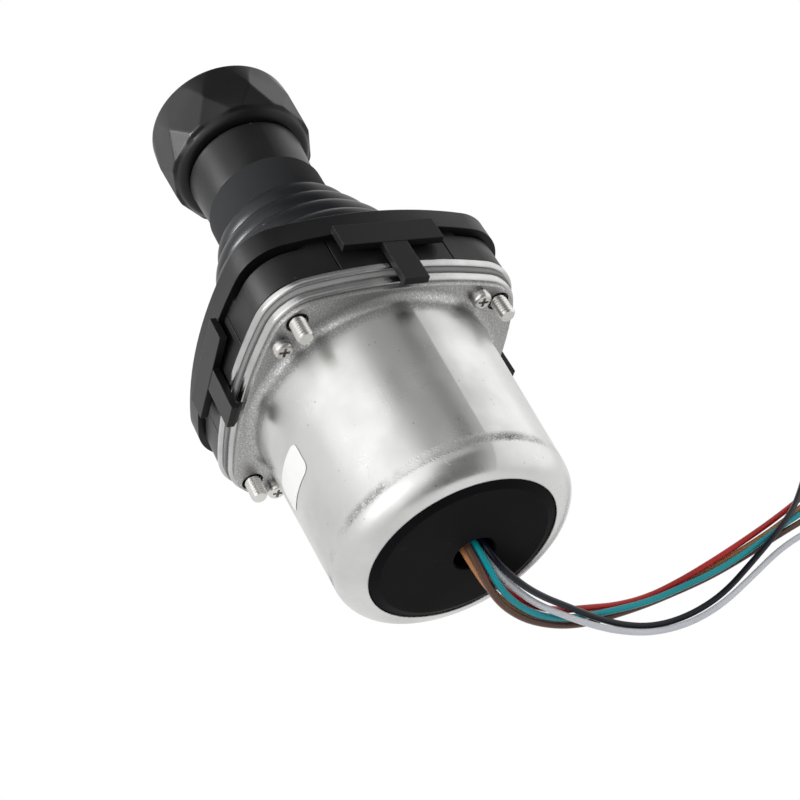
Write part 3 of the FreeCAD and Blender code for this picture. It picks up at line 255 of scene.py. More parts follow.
@dataclass(frozen=True)
class Finish:
    """A plain finish: colour with slow variation, grain, worn edges, specks and soft corners."""

    name: str
    base: Colour
    second: Colour
    worn: Colour
    roughness: float
    metallic: float = 0.0
    grain: float = 2200.0
    depth: float = 0.15
    slow: float = 60.0
    wear: float = 0.5
    dust: float = 0.01
    speck: Colour = (0.10, 0.10, 0.10)
    scratch: float = 0.35
    corner: float = 0.0003
    coat: float = 0.0
    specular: float = 0.5
    scratch_share: float = 0.5
    speck_share: float = 0.6
    uneven: float = 0.12
    polish: float = 0.12
    scratch_depth: float = 0.1

    def build(self, effects: SharedEffects) -> bpy.types.Material:
        """Makes the material.

        Args:
            effects: The shared shader groups.

        Returns:
            The finished material.
        """
        material = bpy.data.materials.new(self.name)
        material.use_nodes = True
        material.node_tree.nodes.clear()
        tree = Tree(material.node_tree)
        place = tree.add("ShaderNodeTexCoord").outputs["Object"]
        shader = tree.add("ShaderNodeBsdfPrincipled", {"Coat Weight": self.coat, "Metallic": self.metallic,
                                                       "Specular IOR Level": self.specular})
        tint, rough, height = self.surface(tree, place, effects)
        soft = tree.add("ShaderNodeBevel", {"Radius": self.corner}, samples=4).outputs[0]
        bump = tree.add("ShaderNodeBump", {"Strength": 1.0, "Distance": BUMP_DISTANCE, "Height": height,
                                           "Normal": soft})
        tree.link(tint, shader.inputs["Base Color"])
        tree.link(rough, shader.inputs["Roughness"])
        tree.link(bump.outputs[0], shader.inputs["Normal"])
        tree.add("ShaderNodeOutputMaterial", {0: shader.outputs[0]})
        return material

    def surface(self, tree: Tree, place: bpy.types.NodeSocket, effects: SharedEffects) -> Surface:
        """Mixes colour, roughness and height.

        Args:
            tree: The material's nodes.
            place: Object coordinates.
            effects: The shared shader groups.

        Returns:
            Colour, roughness and bump height.
        """
        grain = tree.add("ShaderNodeGroup", node_tree=effects.grain)
        wear = tree.add("ShaderNodeGroup", node_tree=effects.wear)
        dust = tree.add("ShaderNodeGroup", node_tree=effects.dust)
        lines = tree.add("ShaderNodeGroup", node_tree=effects.scratches)
        for node in (grain, wear, dust, lines):
            tree.link(place, node.inputs["Vector"])
        grain.inputs["Scale"].default_value = self.grain
        grain.inputs["Slow Scale"].default_value = self.slow
        dust.inputs["Share"].default_value = self.dust
        lines.inputs["Density"].default_value = self.scratch
        tint = tree.blend(grain.outputs["Tone"], colour(self.base), colour(self.second))
        rubbed = tree.math("MULTIPLY", wear.outputs["Mask"], self.wear)
        marks = tree.math("MAXIMUM", rubbed, tree.math("MULTIPLY", lines.outputs["Mask"], self.scratch_share))
        tint = tree.blend(marks, tint, colour(self.worn))
        tint = tree.blend(tree.math("MULTIPLY", dust.outputs["Mask"], self.speck_share), tint, colour(self.speck))
        patches = tree.math("MULTIPLY", grain.outputs["Tone"], self.uneven)
        rough = tree.math("ADD", self.roughness - self.uneven / 2, patches)
        rough = tree.math("SUBTRACT", rough, tree.math("MULTIPLY", marks, self.polish), True)
        height = tree.math("MULTIPLY", grain.outputs["Height"], self.depth)
        height = tree.math("SUBTRACT", height, tree.math("MULTIPLY", lines.outputs["Mask"], self.scratch_depth))
        return tint, rough, height


@dataclass(frozen=True)
class DrawnSteel(Finish):
    """Deep-drawn sheet: streaks along the draw, a darker, rougher band by the flange and a tooled ring by the end.

    The bands are given along the lever, in metres, from where they start to where they are full.
    """

    fillet_band: tuple[float, float] = (-0.0050, -0.0030)
    fillet_share: float = 0.60
    ring_near: tuple[float, float] = (-0.0398, -0.0418)
    ring_far: tuple[float, float] = (-0.0432, -0.0422)
    ragged: float = 0.0016
    darker_band_tint: Colour = (0.12, 0.12, 0.118)
    darker_band_share: float = 0.8
    dull_roughness: float = 0.3
    streak_stretch: Point = (30.0, 900.0, 900.0)
    streak_share: float = 0.15
    streak_depth: float = 0.05
    blotch_stretch: Point = (28.0, 46.0, 46.0)
    blotch_roughness: float = 0.10
    speckle_scale: float = 2600.0
    ring_depth: float = 0.6

    def surface(self, tree: Tree, place: bpy.types.NodeSocket, effects: SharedEffects) -> Surface:
        """Adds draw marks to the plain surface; arguments and results are those of the plain one."""
        tint, rough, height = super().surface(tree, place, effects)
        along = tree.add("ShaderNodeSeparateXYZ", {0: place}).outputs[0]
        streak = tree.noise(tree.stretched(place, self.streak_stretch), 1.0, 4.0, 0.6)
        speckle = tree.noise(place, self.speckle_scale, 2.0, 0.6)
        blotch = tree.noise(tree.stretched(place, self.blotch_stretch), 1.0, 5.0, 0.65)
        shifted = tree.math("ADD", along, tree.math("MULTIPLY", tree.math("SUBTRACT", speckle, 0.5), self.ragged))
        near_fillet = tree.math("MULTIPLY", tree.remap(shifted, *self.fillet_band), self.fillet_share)
        ring = tree.math("MULTIPLY", tree.remap(shifted, *self.ring_near), tree.remap(shifted, *self.ring_far))
        tooled = tree.math("MULTIPLY", ring, tree.remap(blotch, 0.40, 0.60))
        # The band by the flange and the tooled ring are made darker in colour and rougher.
        darker_rougher = tree.math("MULTIPLY", tree.math("ADD", near_fillet, tooled), tree.remap(speckle, 0.30, 0.55), True)
        streaks = tree.math("MULTIPLY", tree.remap(streak, 0.3, 0.7), self.streak_share)
        tint = tree.blend(streaks, tint, colour(self.second))
        tint = tree.blend(tree.math("MULTIPLY", darker_rougher, self.darker_band_share), tint, colour(self.darker_band_tint))
        blotches = tree.math("MULTIPLY", tree.remap(blotch, 0.35, 0.7), self.blotch_roughness)
        rough = tree.math("ADD", rough, blotches)
        rough = tree.math("ADD", rough, tree.math("MULTIPLY", darker_rougher, self.dull_roughness), True)
        height = tree.math("ADD", height, tree.math("MULTIPLY", streak, self.streak_depth))
        height = tree.math("SUBTRACT", height, tree.math("MULTIPLY", ring, self.ring_depth))
        return tint, rough, height


@dataclass(frozen=True)
class BootRubber(Finish):
    """Rubber that is satin on the ribs and dull on the neck."""

    neck_band: tuple[float, float] = (0.0570, 0.0585)
    neck_dullness: float = 0.5

    def surface(self, tree: Tree, place: bpy.types.NodeSocket, effects: SharedEffects) -> Surface:
        """Dulls the neck of the plain surface; arguments and results are those of the plain one."""
        tint, rough, height = super().surface(tree, place, effects)
        along = tree.add("ShaderNodeSeparateXYZ", {0: place}).outputs[0]
        neck = tree.math("MULTIPLY", tree.remap(along, *self.neck_band), self.neck_dullness)
        return tint, tree.math("ADD", rough, neck, True), height


@dataclass(frozen=True)
class TurnedSteel(Finish):
    """Turned metal with fine rings across the lever's axis."""

    ring_stretch: Point = (5200.0, 20.0, 20.0)
    ring_depth: float = 0.3

    def surface(self, tree: Tree, place: bpy.types.NodeSocket, effects: SharedEffects) -> Surface:
        """Adds tool rings to the plain surface; arguments and results are those of the plain one."""
        tint, rough, height = super().surface(tree, place, effects)
        rings = tree.noise(tree.stretched(place, self.ring_stretch), 1.0, 2.0)
        return tint, rough, tree.math("ADD", height, tree.math("MULTIPLY", rings, self.ring_depth))


@dataclass(frozen=True)
class BoardMask(Finish):
    """Circuit board with tracks under its solder mask."""

    track_tint: Colour = (0.09, 0.36, 0.17)
    track_scale: float = 260.0
    track_gap: float = 0.12
    track_share: float = 0.5
    track_depth: float = 0.4

    def surface(self, tree: Tree, place: bpy.types.NodeSocket, effects: SharedEffects) -> Surface:
        """Adds tracks to the plain surface; arguments and results are those of the plain one."""
        tint, rough, height = super().surface(tree, place, effects)
        flat = tree.stretched(place, (1.0, 1.0, 1.0), (0.0, QUARTER_TURN, 0.0))
        brick = tree.add("ShaderNodeTexBrick", {"Vector": flat, "Scale": self.track_scale,
                                                "Mortar Size": self.track_gap})
        tracks = tree.math("SUBTRACT", 1.0, brick.outputs["Fac"])
        tint = tree.blend(tree.math("MULTIPLY", tracks, self.track_share), tint, colour(self.track_tint))
        return tint, rough, tree.math("ADD", height, tree.math("MULTIPLY", tracks, self.track_depth))


@dataclass(frozen=True)
class Insulation(Finish):
    """Smooth insulation of a lead, without grain, marks or dust."""

    depth: float = 0.0
    wear: float = 0.0
    dust: float = 0.0
    scratch: float = 0.0
    corner: float = 0.00003
    specular: float = 0.12


WHITE = (1.0, 1.0, 1.0)
NO_LIGHT = (0.0, 0.0, 0.0)

FINISHES: dict[str, Finish] = {
    "black_nylon": Finish("black_nylon", (0.0038, 0.0038, 0.0042), (0.0055, 0.0055, 0.006), (0.03, 0.03, 0.031), 0.40,
                          depth=0.16, specular=0.18),
    "knob_plastic": Finish("knob_plastic", (0.0038, 0.0038, 0.004), (0.005, 0.005, 0.0053), (0.02, 0.02, 0.02), 0.36,
                           grain=1500.0, depth=0.06, corner=0.0005, specular=0.20),
    "boot_rubber": BootRubber("boot_rubber", (0.0036, 0.0038, 0.0048), (0.005, 0.0053, 0.0065),
                              (0.018, 0.019, 0.021), 0.36, grain=3000.0, depth=0.10, wear=0.25, specular=0.20),
    "plug_plastic": Finish("plug_plastic", (0.0025, 0.0025, 0.0031), (0.004, 0.004, 0.0048), (0.03, 0.03, 0.03), 0.50,
                           grain=900.0, specular=0.03),
    "plated_sheet": Finish("plated_sheet", (0.52, 0.52, 0.515), (0.45, 0.45, 0.445), (0.70, 0.70, 0.69), 0.24, 1.0,
                           grain=1400.0, depth=0.10, slow=120.0, dust=0.06, speck=(0.25, 0.25, 0.25), corner=0.0004),
    "grey_gasket": Finish("grey_gasket", (0.20, 0.20, 0.20), (0.25, 0.25, 0.25), (0.34, 0.34, 0.34), 0.7,
                          grain=1600.0, depth=0.5),
    "drawn_steel": DrawnSteel("drawn_steel", (0.64, 0.64, 0.63), (0.56, 0.56, 0.55), (0.78, 0.78, 0.77), 0.30, 1.0,
                              grain=2600.0, depth=0.08, slow=70.0, dust=0.05, speck=(0.3, 0.3, 0.3), scratch=0.45,
                              corner=0.0005),
    "zinc_screw": TurnedSteel("zinc_screw", (0.66, 0.65, 0.62), (0.56, 0.55, 0.53), (0.85, 0.84, 0.82), 0.28, 1.0,
                              corner=0.00015),
    "turned_steel": TurnedSteel("turned_steel", (0.62, 0.61, 0.59), (0.54, 0.54, 0.53), (0.80, 0.80, 0.79), 0.26,
                                1.0),
    "bronze_bush": TurnedSteel("bronze_bush", (0.55, 0.36, 0.17), (0.44, 0.28, 0.13), (0.75, 0.55, 0.30), 0.38, 1.0),
    "gimbal_alloy": TurnedSteel("gimbal_alloy", (0.60, 0.61, 0.63), (0.52, 0.53, 0.55), (0.80, 0.80, 0.81), 0.34,
                                1.0),
    "spring_steel": Finish("spring_steel", (0.40, 0.40, 0.41), (0.32, 0.32, 0.33), (0.62, 0.62, 0.62), 0.30, 1.0,
                           corner=0.0001),
    "magnet": Finish("magnet", (0.58, 0.57, 0.54), (0.50, 0.49, 0.47), (0.75, 0.74, 0.70), 0.18, 1.0),
    "board_green": BoardMask("board_green", (0.012, 0.16, 0.06), (0.016, 0.20, 0.08), (0.30, 0.42, 0.25), 0.30,
                             coat=0.3),
    "chip_black": Finish("chip_black", (0.022, 0.022, 0.024), (0.030, 0.030, 0.032), (0.07, 0.07, 0.07), 0.55),
    "connector_white": Finish("connector_white", (0.76, 0.74, 0.67), (0.70, 0.68, 0.61), (0.84, 0.83, 0.78), 0.42),
    "lead_brown": Insulation("lead_brown", (0.115, 0.058, 0.040), (0.085, 0.042, 0.028), (0.26, 0.12, 0.06), 0.30),
    "lead_tan": Insulation("lead_tan", (0.42, 0.19, 0.075), (0.36, 0.155, 0.06), (0.85, 0.50, 0.25), 0.30),
    "lead_teal": Insulation("lead_teal", (0.004, 0.27, 0.31), (0.004, 0.23, 0.27), (0.10, 0.48, 0.50), 0.28),
    "lead_red": Insulation("lead_red", (0.42, 0.012, 0.008), (0.34, 0.010, 0.008), (0.70, 0.12, 0.10), 0.30),
    "lead_white": Insulation("lead_white", (0.56, 0.57, 0.61), (0.52, 0.53, 0.57), (0.66, 0.66, 0.68), 0.34),
    "lead_black": Insulation("lead_black", (0.003, 0.0035, 0.009), (0.005, 0.006, 0.013), (0.06, 0.06, 0.08), 0.28),
    "paper_label": Finish("paper_label", (0.80, 0.80, 0.79), (0.76, 0.76, 0.75), (0.84, 0.84, 0.83), 0.6, depth=0.2,
                          dust=0.0),
}


def new_mesh(name: str, verts: list[Vector], faces: list[Face], shade: Shade) -> bpy.types.Object:
    """Makes a mesh object with outward faces.

    Args:
        name: The object's name.
        verts: Points in metres.
        faces: Faces as point indices.
        shade: How the faces are shaded.

    Returns:
        The new object, linked to the scene.
    """
    mesh = bpy.data.meshes.new(name)
    mesh.from_pydata([tuple(v) for v in verts], [], faces)
    bm = bmesh.new()
    bm.from_mesh(mesh)
    bmesh.ops.recalc_face_normals(bm, faces=bm.faces)
    bm.to_mesh(mesh)
    bm.free()
    mesh.shade_smooth()
    piece = bpy.data.objects.new(name, mesh)
    bpy.context.scene.collection.objects.link(piece)
    if shade is Shade.BY_ANGLE:
        mesh.set_sharp_from_angle(angle=SHARP_ANGLE)
    return piece


def bands(rows: int, sides: int, closed: bool) -> list[Face]:
    """Faces between rows of points round an axis.

    Args:
        rows: Number of rows.
        sides: Points in each row.
        closed: Whether the last row joins the first.

    Returns:
        The faces; the points are numbered row by row.
    """
    faces: list[Face] = []
    for row in range(rows if closed else rows - 1):
        following = (row + 1) % rows
        for step in range(sides):
            after = (step + 1) % sides
            faces.append((row * sides + step, row * sides + after,
                          following * sides + after, following * sides + step))
    return faces


def end_caps(rows: int, sides: int) -> list[Face]:
    """Faces that close the first and the last row of points."""
    last = (rows - 1) * sides
    return [tuple(reversed(range(sides))), tuple(range(last, last + sides))]


def lathe(name: str, profile: Profile, segments: int) -> bpy.types.Object:
    """Turns a closed profile round the lever's axis.

    Args:
        name: The object's name.
        profile: (radius, height) points in standing millimetres.
        segments: Steps round the axis.

    Returns:
        The turned object.
    """
    verts = []
    for radius, height in profile:
        for step in range(segments):
            angle = 2 * math.pi * step / segments
            verts.append(standing(radius * math.cos(angle), radius * math.sin(angle), height))
    return new_mesh(name, verts, bands(len(profile), segments, True), Shade.BY_ANGLE)


def sweep(name: str, centres: list[Vector], radius: float, sides: int) -> bpy.types.Object:
    """Sweeps a round section along close points.

    Args:
        name: The object's name.
        centres: Points of the centreline in metres.
        radius: Radius of the section in metres.
        sides: Corners of the section.

    Returns:
        The swept object, capped at both ends.
    """
    verts = []
    side = Vector((0, 0, 1))
    for index, centre in enumerate(centres):
        ahead = centres[min(index + 1, len(centres) - 1)]
        behind = centres[max(index - 1, 0)]
        along = (ahead - behind).normalized()
        side = (side - along * side.dot(along)).normalized()
        other = along.cross(side)
        for step in range(sides):
            angle = 2 * math.pi * step / sides
            verts.append(centre + (side * math.cos(angle) + other * math.sin(angle)) * radius)
    rows = len(centres)
    return new_mesh(name, verts, bands(rows, sides, False) + end_caps(rows, sides), Shade.BY_ANGLE)


class Workshop:
    """Keeps the finished materials and dresses pieces with them."""

    def __init__(self) -> None:
        """Builds every finish once."""
        effects = SharedEffects()
        self.materials = {name: finish.build(effects) for name, finish in FINISHES.items()}

    def dress(self, piece: bpy.types.Object, finish: str, slot: str | None = None) -> None:
        """Gives a piece its finish.

        Args:
            piece: The piece.
            finish: Name of the finish.
            slot: Not used.
        """
        piece.data.materials.clear()
        piece.data.materials.append(self.materials[finish])

    def dress_nodes(self) -> None:
        """Gives every carried-over node the finish of its slot in the record."""
        for part in frame["record"]["subparts"]:
            node = frame["nodes"][part["node"]]
            material = self.materials[part["material_slot"]]
            for place in node.material_slots:
                place.material = material
        LOG.info("%d nodes dressed", len(frame["nodes"]))


def seen_directly(tree: Tree) -> bpy.types.NodeSocket:
    """One for rays from the camera, a mirror or glass, nothing for the light that falls on pieces."""
    path = tree.add("ShaderNodeLightPath")
    mirrored = tree.math("ADD", path.outputs["Is Glossy Ray"], path.outputs["Is Transmission Ray"])
    return tree.math("ADD", path.outputs["Is Camera Ray"], mirrored, True)


@dataclass
class Studio:
    """Camera, floor, world and lamps.

    A wall is given by where it starts and is full, as a share to the side, and by its strength; a lamp by its name,
    place, power and size.
    """

    eye: Point = (-0.220817, 0.164650, 0.243204)
    right: Point = (-0.406094, -0.878687, 0.250991)
    down: Point = (-0.696870, 0.120095, -0.707071)
    lens: float = 72.02
    sensor: float = 36.0
    floor_size: float = 6.0
    paper: tuple[Colour, Colour] = ((0.86, 0.86, 0.86), (0.88, 0.88, 0.88))
    walls: tuple[tuple[float, float, float], ...] = ((0.20, 0.55, 1.35), (-0.35, -0.68, 1.3))
    ambient: float = 0.20
    aim: Point = (0.02, 0, 0)
    lamps: tuple[tuple[str, Point, float, float], ...] = (
        ("key", (-0.25, 0.95, 0.35), 2.0, 0.7),
        ("top", (0.25, 0.10, 1.10), 0.8, 0.8),
        ("rim", (0.35, 1.00, 0.08), 36.0, 0.45),
    )
    black_slots: tuple[str, ...] = ("black_nylon", "knob_plastic", "boot_rubber", "plug_plastic")

    def camera(self) -> None:
        """Places the camera at the photo's viewing angle."""
        data = bpy.data.cameras.new("camera")
        data.lens = self.lens
        data.sensor_width = self.sensor
        right, up = Vector(self.right), -Vector(self.down)
        back = right.cross(up)
        turn = Matrix((right, up, back)).transposed().to_4x4()
        camera = bpy.data.objects.new("camera", data)
        camera.matrix_world = Matrix.Translation(self.eye) @ turn
        bpy.context.scene.collection.objects.link(camera)
        bpy.context.scene.camera = camera

    def floor(self) -> None:
        """Lays the pale floor under the joystick."""
        half = self.floor_size / 2
        level = FLOOR * MM - FLOOR_GAP
        corners = [Vector((x, y, level)) for x, y in ((-half, -half), (half, -half), (half, half), (-half, half))]
        floor = new_mesh("floor", corners, [(0, 1, 2, 3)], Shade.SMOOTH)
        material = bpy.data.materials.new("floor_paper")
        material.use_nodes = True
        tree = Tree(material.node_tree)
        shader = material.node_tree.nodes["Principled BSDF"]
        place = tree.add("ShaderNodeTexCoord").outputs["Object"]
        seen = seen_directly(tree)
        tint = tree.blend(tree.noise(place, 8.0), *map(colour, self.paper))
        tree.link(tree.blend(seen, tint, colour(NO_LIGHT)), shader.inputs["Base Color"])
        tree.link(tree.blend(seen, colour(NO_LIGHT), colour(WHITE)), shader.inputs["Emission Color"])
        shader.inputs["Emission Strength"].default_value = 1.0
        shader.inputs["Roughness"].default_value = 0.9
        shader.inputs["Specular IOR Level"].default_value = 0.0
        floor.data.materials.append(material)

    def world(self) -> None:
        """Soft surroundings: a bright wall on each side of the lever and a dark ceiling between them."""
        world = bpy.data.worlds.new("studio")
        world.use_nodes = True
        world.node_tree.nodes.clear()
        tree = Tree(world.node_tree)
        ray = tree.add("ShaderNodeTexCoord").outputs["Generated"]
        side = tree.add("ShaderNodeSeparateXYZ", {0: ray}).outputs[1]
        walls = [tree.math("MULTIPLY", tree.remap(side, start, full), power) for start, full, power in self.walls]
        strength = tree.math("ADD", tree.math("ADD", *walls), self.ambient)
        background = tree.add("ShaderNodeBackground", {"Color": colour(WHITE), "Strength": strength})
        tree.add("ShaderNodeOutputWorld", {0: background.outputs[0]})
        bpy.context.scene.world = world

    def light(self) -> None:
        """Hangs the soft lamps."""
        for name, place, power, size in self.lamps:
            data = bpy.data.lights.new(name, "AREA")
            data.energy = power
            data.size = size
            lamp = bpy.data.objects.new(name, data)
            lamp.location = place
            lamp.rotation_mode = "QUATERNION"
            lamp.rotation_quaternion = (Vector(place) - Vector(self.aim)).to_track_quat("Z", "Y")
            bpy.context.scene.collection.objects.link(lamp)

    def favour_blacks(self) -> None:
        """Lets the rim lamp fall on the black pieces only.

        Blender numbers a material whose name is taken, so what follows the dot in a name is left out.
        """
        blacks = bpy.data.collections.new("black_pieces")
        for piece in bpy.context.scene.objects:
            names = [place.material.name.split(".")[0] for place in piece.material_slots if place.material]
            if any(name in self.black_slots for name in names):
                blacks.objects.link(piece)
        bpy.data.objects["rim"].light_linking.receiver_collection = blacks

    def build(self) -> None:
        """Sets up the whole studio."""
        self.camera()
        self.floor()
        self.world()
        self.light()
        bpy.context.scene.view_settings.view_transform = "Standard"
        LOG.info("studio ready")


LEAD_ROUTES: dict[str, list[Point]] = {
    "wire_brown": [(-25.1, -1.0, 0.3), (-38.2, -0.9, 0.2), (-51.5, -1.1, 0.4), (-54.9, -7.6, -10.4),
                   (-55.6, -17.2, -19.1), (-55.3, -27.8, -25.3), (-54.2, -38.5, -29.5),
                   (-52.1, -49.1, -32.1), (-50.1, -60.2, -34.0), (-47.7, -72.3, -35.0),
                   (-45.0, -85.6, -35.5), (-41.1, -99.7, -35.6), (-36.6, -114.5, -35.6),
                   (-32.4, -129.6, -35.6), (-28.6, -144.5, -35.6)],
    "wire_tan": [(-25.1, -1.0, -1.7), (-38.2, -0.9, -1.8), (-51.5, -1.1, -1.6), (-51.8, -9.1, -12.3),
                 (-53.1, -18.9, -20.5), (-53.3, -29.3, -26.6), (-51.7, -39.7, -30.1),
                 (-49.7, -50.2, -32.6), (-47.9, -61.4, -34.7), (-45.4, -73.6, -35.5),
                 (-42.5, -87.1, -35.6), (-38.6, -101.4, -35.6), (-33.8, -116.1, -35.6),
                 (-27.9, -130.8, -35.6), (-22.2, -145.1, -35.6)],
    "wire_teal": [(-25.1, -3.0, 0.3), (-38.2, -2.9, 0.2), (-51.5, -3.1, 0.4), (-54.5, -9.6, -9.3),
                  (-55.2, -18.5, -17.5), (-54.9, -28.5, -23.5), (-53.5, -38.8, -27.3),
                  (-52.2, -49.4, -29.6), (-50.8, -60.5, -31.4), (-48.2, -72.5, -32.6),
                  (-45.2, -86.0, -33.5), (-40.8, -100.3, -33.6), (-35.3, -114.8, -34.1),
                  (-30.5, -129.7, -34.7), (-25.3, -144.1, -35.5)],
    "wire_red": [(-25.1, -3.0, -1.7), (-38.2, -2.9, -1.8), (-51.5, -3.1, -1.6), (-51.4, -11.2, -11.3),
                 (-52.5, -20.7, -19.0), (-52.3, -30.6, -24.4), (-51.0, -41.0, -27.9),
                 (-50.2, -51.4, -31.0), (-48.7, -62.5, -32.7), (-45.7, -74.5, -33.4),
                 (-41.8, -87.5, -33.7), (-37.1, -101.6, -34.2), (-31.8, -116.1, -35.0),
                 (-25.9, -130.6, -35.6), (-19.0, -144.4, -35.6)],
    "wire_white": [(-25.1, -5.0, -1.7), (-38.2, -4.9, -1.8), (-51.5, -5.1, -1.6), (-52.5, -12.8, -9.8),
                   (-54.1, -20.5, -16.4), (-55.4, -29.4, -21.6), (-56.6, -38.6, -26.6),
                   (-57.7, -48.3, -30.7), (-58.1, -58.9, -33.8), (-57.0, -70.8, -35.3),
                   (-53.6, -83.6, -35.6), (-47.7, -96.9, -35.4), (-41.3, -111.0, -34.8),
                   (-36.8, -126.7, -35.1), (-33.1, -142.2, -35.6)],
    "wire_black": [(-25.1, -5.0, 0.3), (-38.2, -4.9, 0.2), (-51.5, -5.1, 0.4), (-53.8, -13.2, -7.4),
                   (-54.0, -21.8, -14.5), (-54.2, -31.1, -20.6), (-54.9, -40.3, -26.4),
                   (-55.7, -50.0, -31.3), (-56.1, -60.8, -34.5), (-54.6, -72.8, -35.6),
                   (-50.9, -85.5, -35.4), (-44.6, -98.2, -33.6), (-37.6, -111.4, -31.8),
                   (-29.3, -124.3, -33.1), (-19.2, -135.3, -35.2)],
}


@dataclass
class Leads:
    """The six flying leads: their lengths in metres, other sizes in millimetres."""

    shop: Workshop
    diameter: float = 1.6
    exit_x: float = -49.0
    lengths: dict[str, float] = field(default_factory=lambda: {
        "wire_brown": 0.184, "wire_tan": 0.183, "wire_teal": 0.181, "wire_red": 0.181, "wire_white": 0.176,
        "wire_black": 0.176})

    def lead(self, node: str, route: list[Point]) -> None:
        """Lays one lead along its route.

        Args:
            node: The CAD node that the lead replaces.
            route: Control points in millimetres.
        """
        data = bpy.data.curves.new("lead_" + node[5:], "CURVE")
        data.dimensions = "3D"
        data.bevel_depth = self.diameter / 2 * MM
        data.bevel_resolution = 5
        data.use_fill_caps = True
        data.resolution_u = 10
        spline = data.splines.new("NURBS")
        spline.points.add(len(route) - 1)
        for point, place in zip(spline.points, route):
            point.co = (*(value * MM for value in place), 1.0)
        spline.order_u = 3
        spline.use_endpoint_u = True
        piece = bpy.data.objects.new(data.name, data)
        bpy.context.scene.collection.objects.link(piece)
        self.shop.dress(piece, node.replace("wire", "lead"))
        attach(piece, "base")
        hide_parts(node)

    def build(self) -> None:
        """Lays all six."""
        for node, route in LEAD_ROUTES.items():
            self.lead(node, route)
        LOG.info("%d leads laid", len(LEAD_ROUTES))


@dataclass
class Boot:
    """Bellows boot in two halves, with the spring inside."""

    shop: Workshop
    base_radius: float = 30.4
    base_height: float = 15.8
    flange_radius: float = 33.0
    flange_low: float = 9.6
    flange_thickness: float = 1.5
    neck_radius: float = 15.5
    neck_bottom: float = 51.0
    neck_top: float = 62.8
    neck_bore: float = 13.05
    neck_round: float = 0.9
    bore_foot: float = 0.5
    wall: float = 1.3
    ribs: int = 5
    bulge: float = 1.4
    roundness: float = 0.75
    rib_steps: int = 14
    split: int = 2
    segments: int = 128
    spring_wire: float = 1.6
    spring_low: tuple[float, float] = (20.6, 10.5)
    spring_high: tuple[float, float] = (10.8, 43.7)
    spring_turns: float = 5.0
    spring_steps: int = 160
    spring_grip: float = 42.0

    def cone(self, share: float, outwards: float) -> tuple[float, float]:
        """Point on the cone at a share of its length, moved outwards."""
        run = (self.neck_radius - self.base_radius, self.neck_bottom - self.base_height)
        length = math.hypot(*run)
        normal = (run[1] / length, -run[0] / length)
        return (self.base_radius + run[0] * share + normal[0] * outwards,
                self.base_height + run[1] * share + normal[1] * outwards)

    def ribs_between(self, first: int, last: int, inset: float) -> Profile:
        """Scalloped line over some ribs.

        Args:
            first: Index of the first rib.
            last: Index after the last rib.
            inset: How far the line lies inside the outer face.

        Returns:
            The line as (radius, height) points.
        """
        points = []
        for step in range(first * self.rib_steps, last * self.rib_steps + 1):
            share = step / (self.ribs * self.rib_steps)
            wave = abs(math.sin(math.pi * step / self.rib_steps)) ** self.roundness
            points.append(self.cone(share, self.bulge * wave - inset))
        return points

    def lower(self) -> bpy.types.Object:
        """Flange and lower ribs."""
        outer = self.ribs_between(0, self.split, 0.0)
        inner = self.ribs_between(0, self.split, self.wall)
        top = self.flange_low + self.flange_thickness
        profile = [(inner[0][0], self.flange_low), (self.flange_radius, self.flange_low), (self.flange_radius, top),
                   (self.base_radius, top)] + outer + list(reversed(inner))
        return lathe("boot_lower", profile, self.segments)

    def upper(self) -> bpy.types.Object:
        """Upper ribs and the neck."""
        outer = self.ribs_between(self.split, self.ribs, 0.0)
        inner = self.ribs_between(self.split, self.ribs, self.wall)
        cut = 0.3 * self.neck_round
        lip = [(self.neck_radius, self.neck_top - self.neck_round), (self.neck_radius - cut, self.neck_top - cut),
               (self.neck_radius - self.neck_round, self.neck_top), (self.neck_bore, self.neck_top),
               (self.neck_bore, self.neck_bottom + self.bore_foot)]
        return lathe("boot_upper", outer + lip + list(reversed(inner)), self.segments)

    def spring_half(self, name: str, start: float, end: float) -> bpy.types.Object:
        """Part of the centring spring between two shares of its length."""
        centres = []
        for step in range(self.spring_steps + 1):
            share = start + (end - start) * step / self.spring_steps
            angle = 2 * math.pi * self.spring_turns * share
            radius = self.spring_low[0] + (self.spring_high[0] - self.spring_low[0]) * share
            height = self.spring_low[1] + (self.spring_high[1] - self.spring_low[1]) * share
            centres.append(standing(radius * math.cos(angle), radius * math.sin(angle), height))
        return sweep(name, centres, self.spring_wire / 2 * MM, 10)

    def build(self) -> None:
        """Builds and dresses all four pieces and hides the CAD nodes they replace."""
        middle = self.cone(self.split / self.ribs, 0.0)[1]
        low, high = self.lower(), self.upper()
        share = (middle - self.spring_low[1]) / (self.spring_high[1] - self.spring_low[1])
        spring_low = self.spring_half("spring_lower", 0.0, share)
        spring_high = self.spring_half("spring_upper", share, 1.0)
        neck = standing(0, 0, self.neck_bottom)
        grip = standing(0, 0, self.spring_grip)
        for piece, finish, node in ((low, "boot_rubber", "rubber_boot"),
                                    (spring_low, "spring_steel", "return_spring")):
            self.shop.dress(piece, finish)
            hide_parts(node)
            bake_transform(piece)
        for piece, finish, node, end in ((high, "boot_rubber", "rubber_boot", neck),
                                         (spring_high, "spring_steel", "return_spring", grip)):
            self.shop.dress(piece, finish)
            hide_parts(node)
            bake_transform(piece)
        LOG.info("boot and spring built")


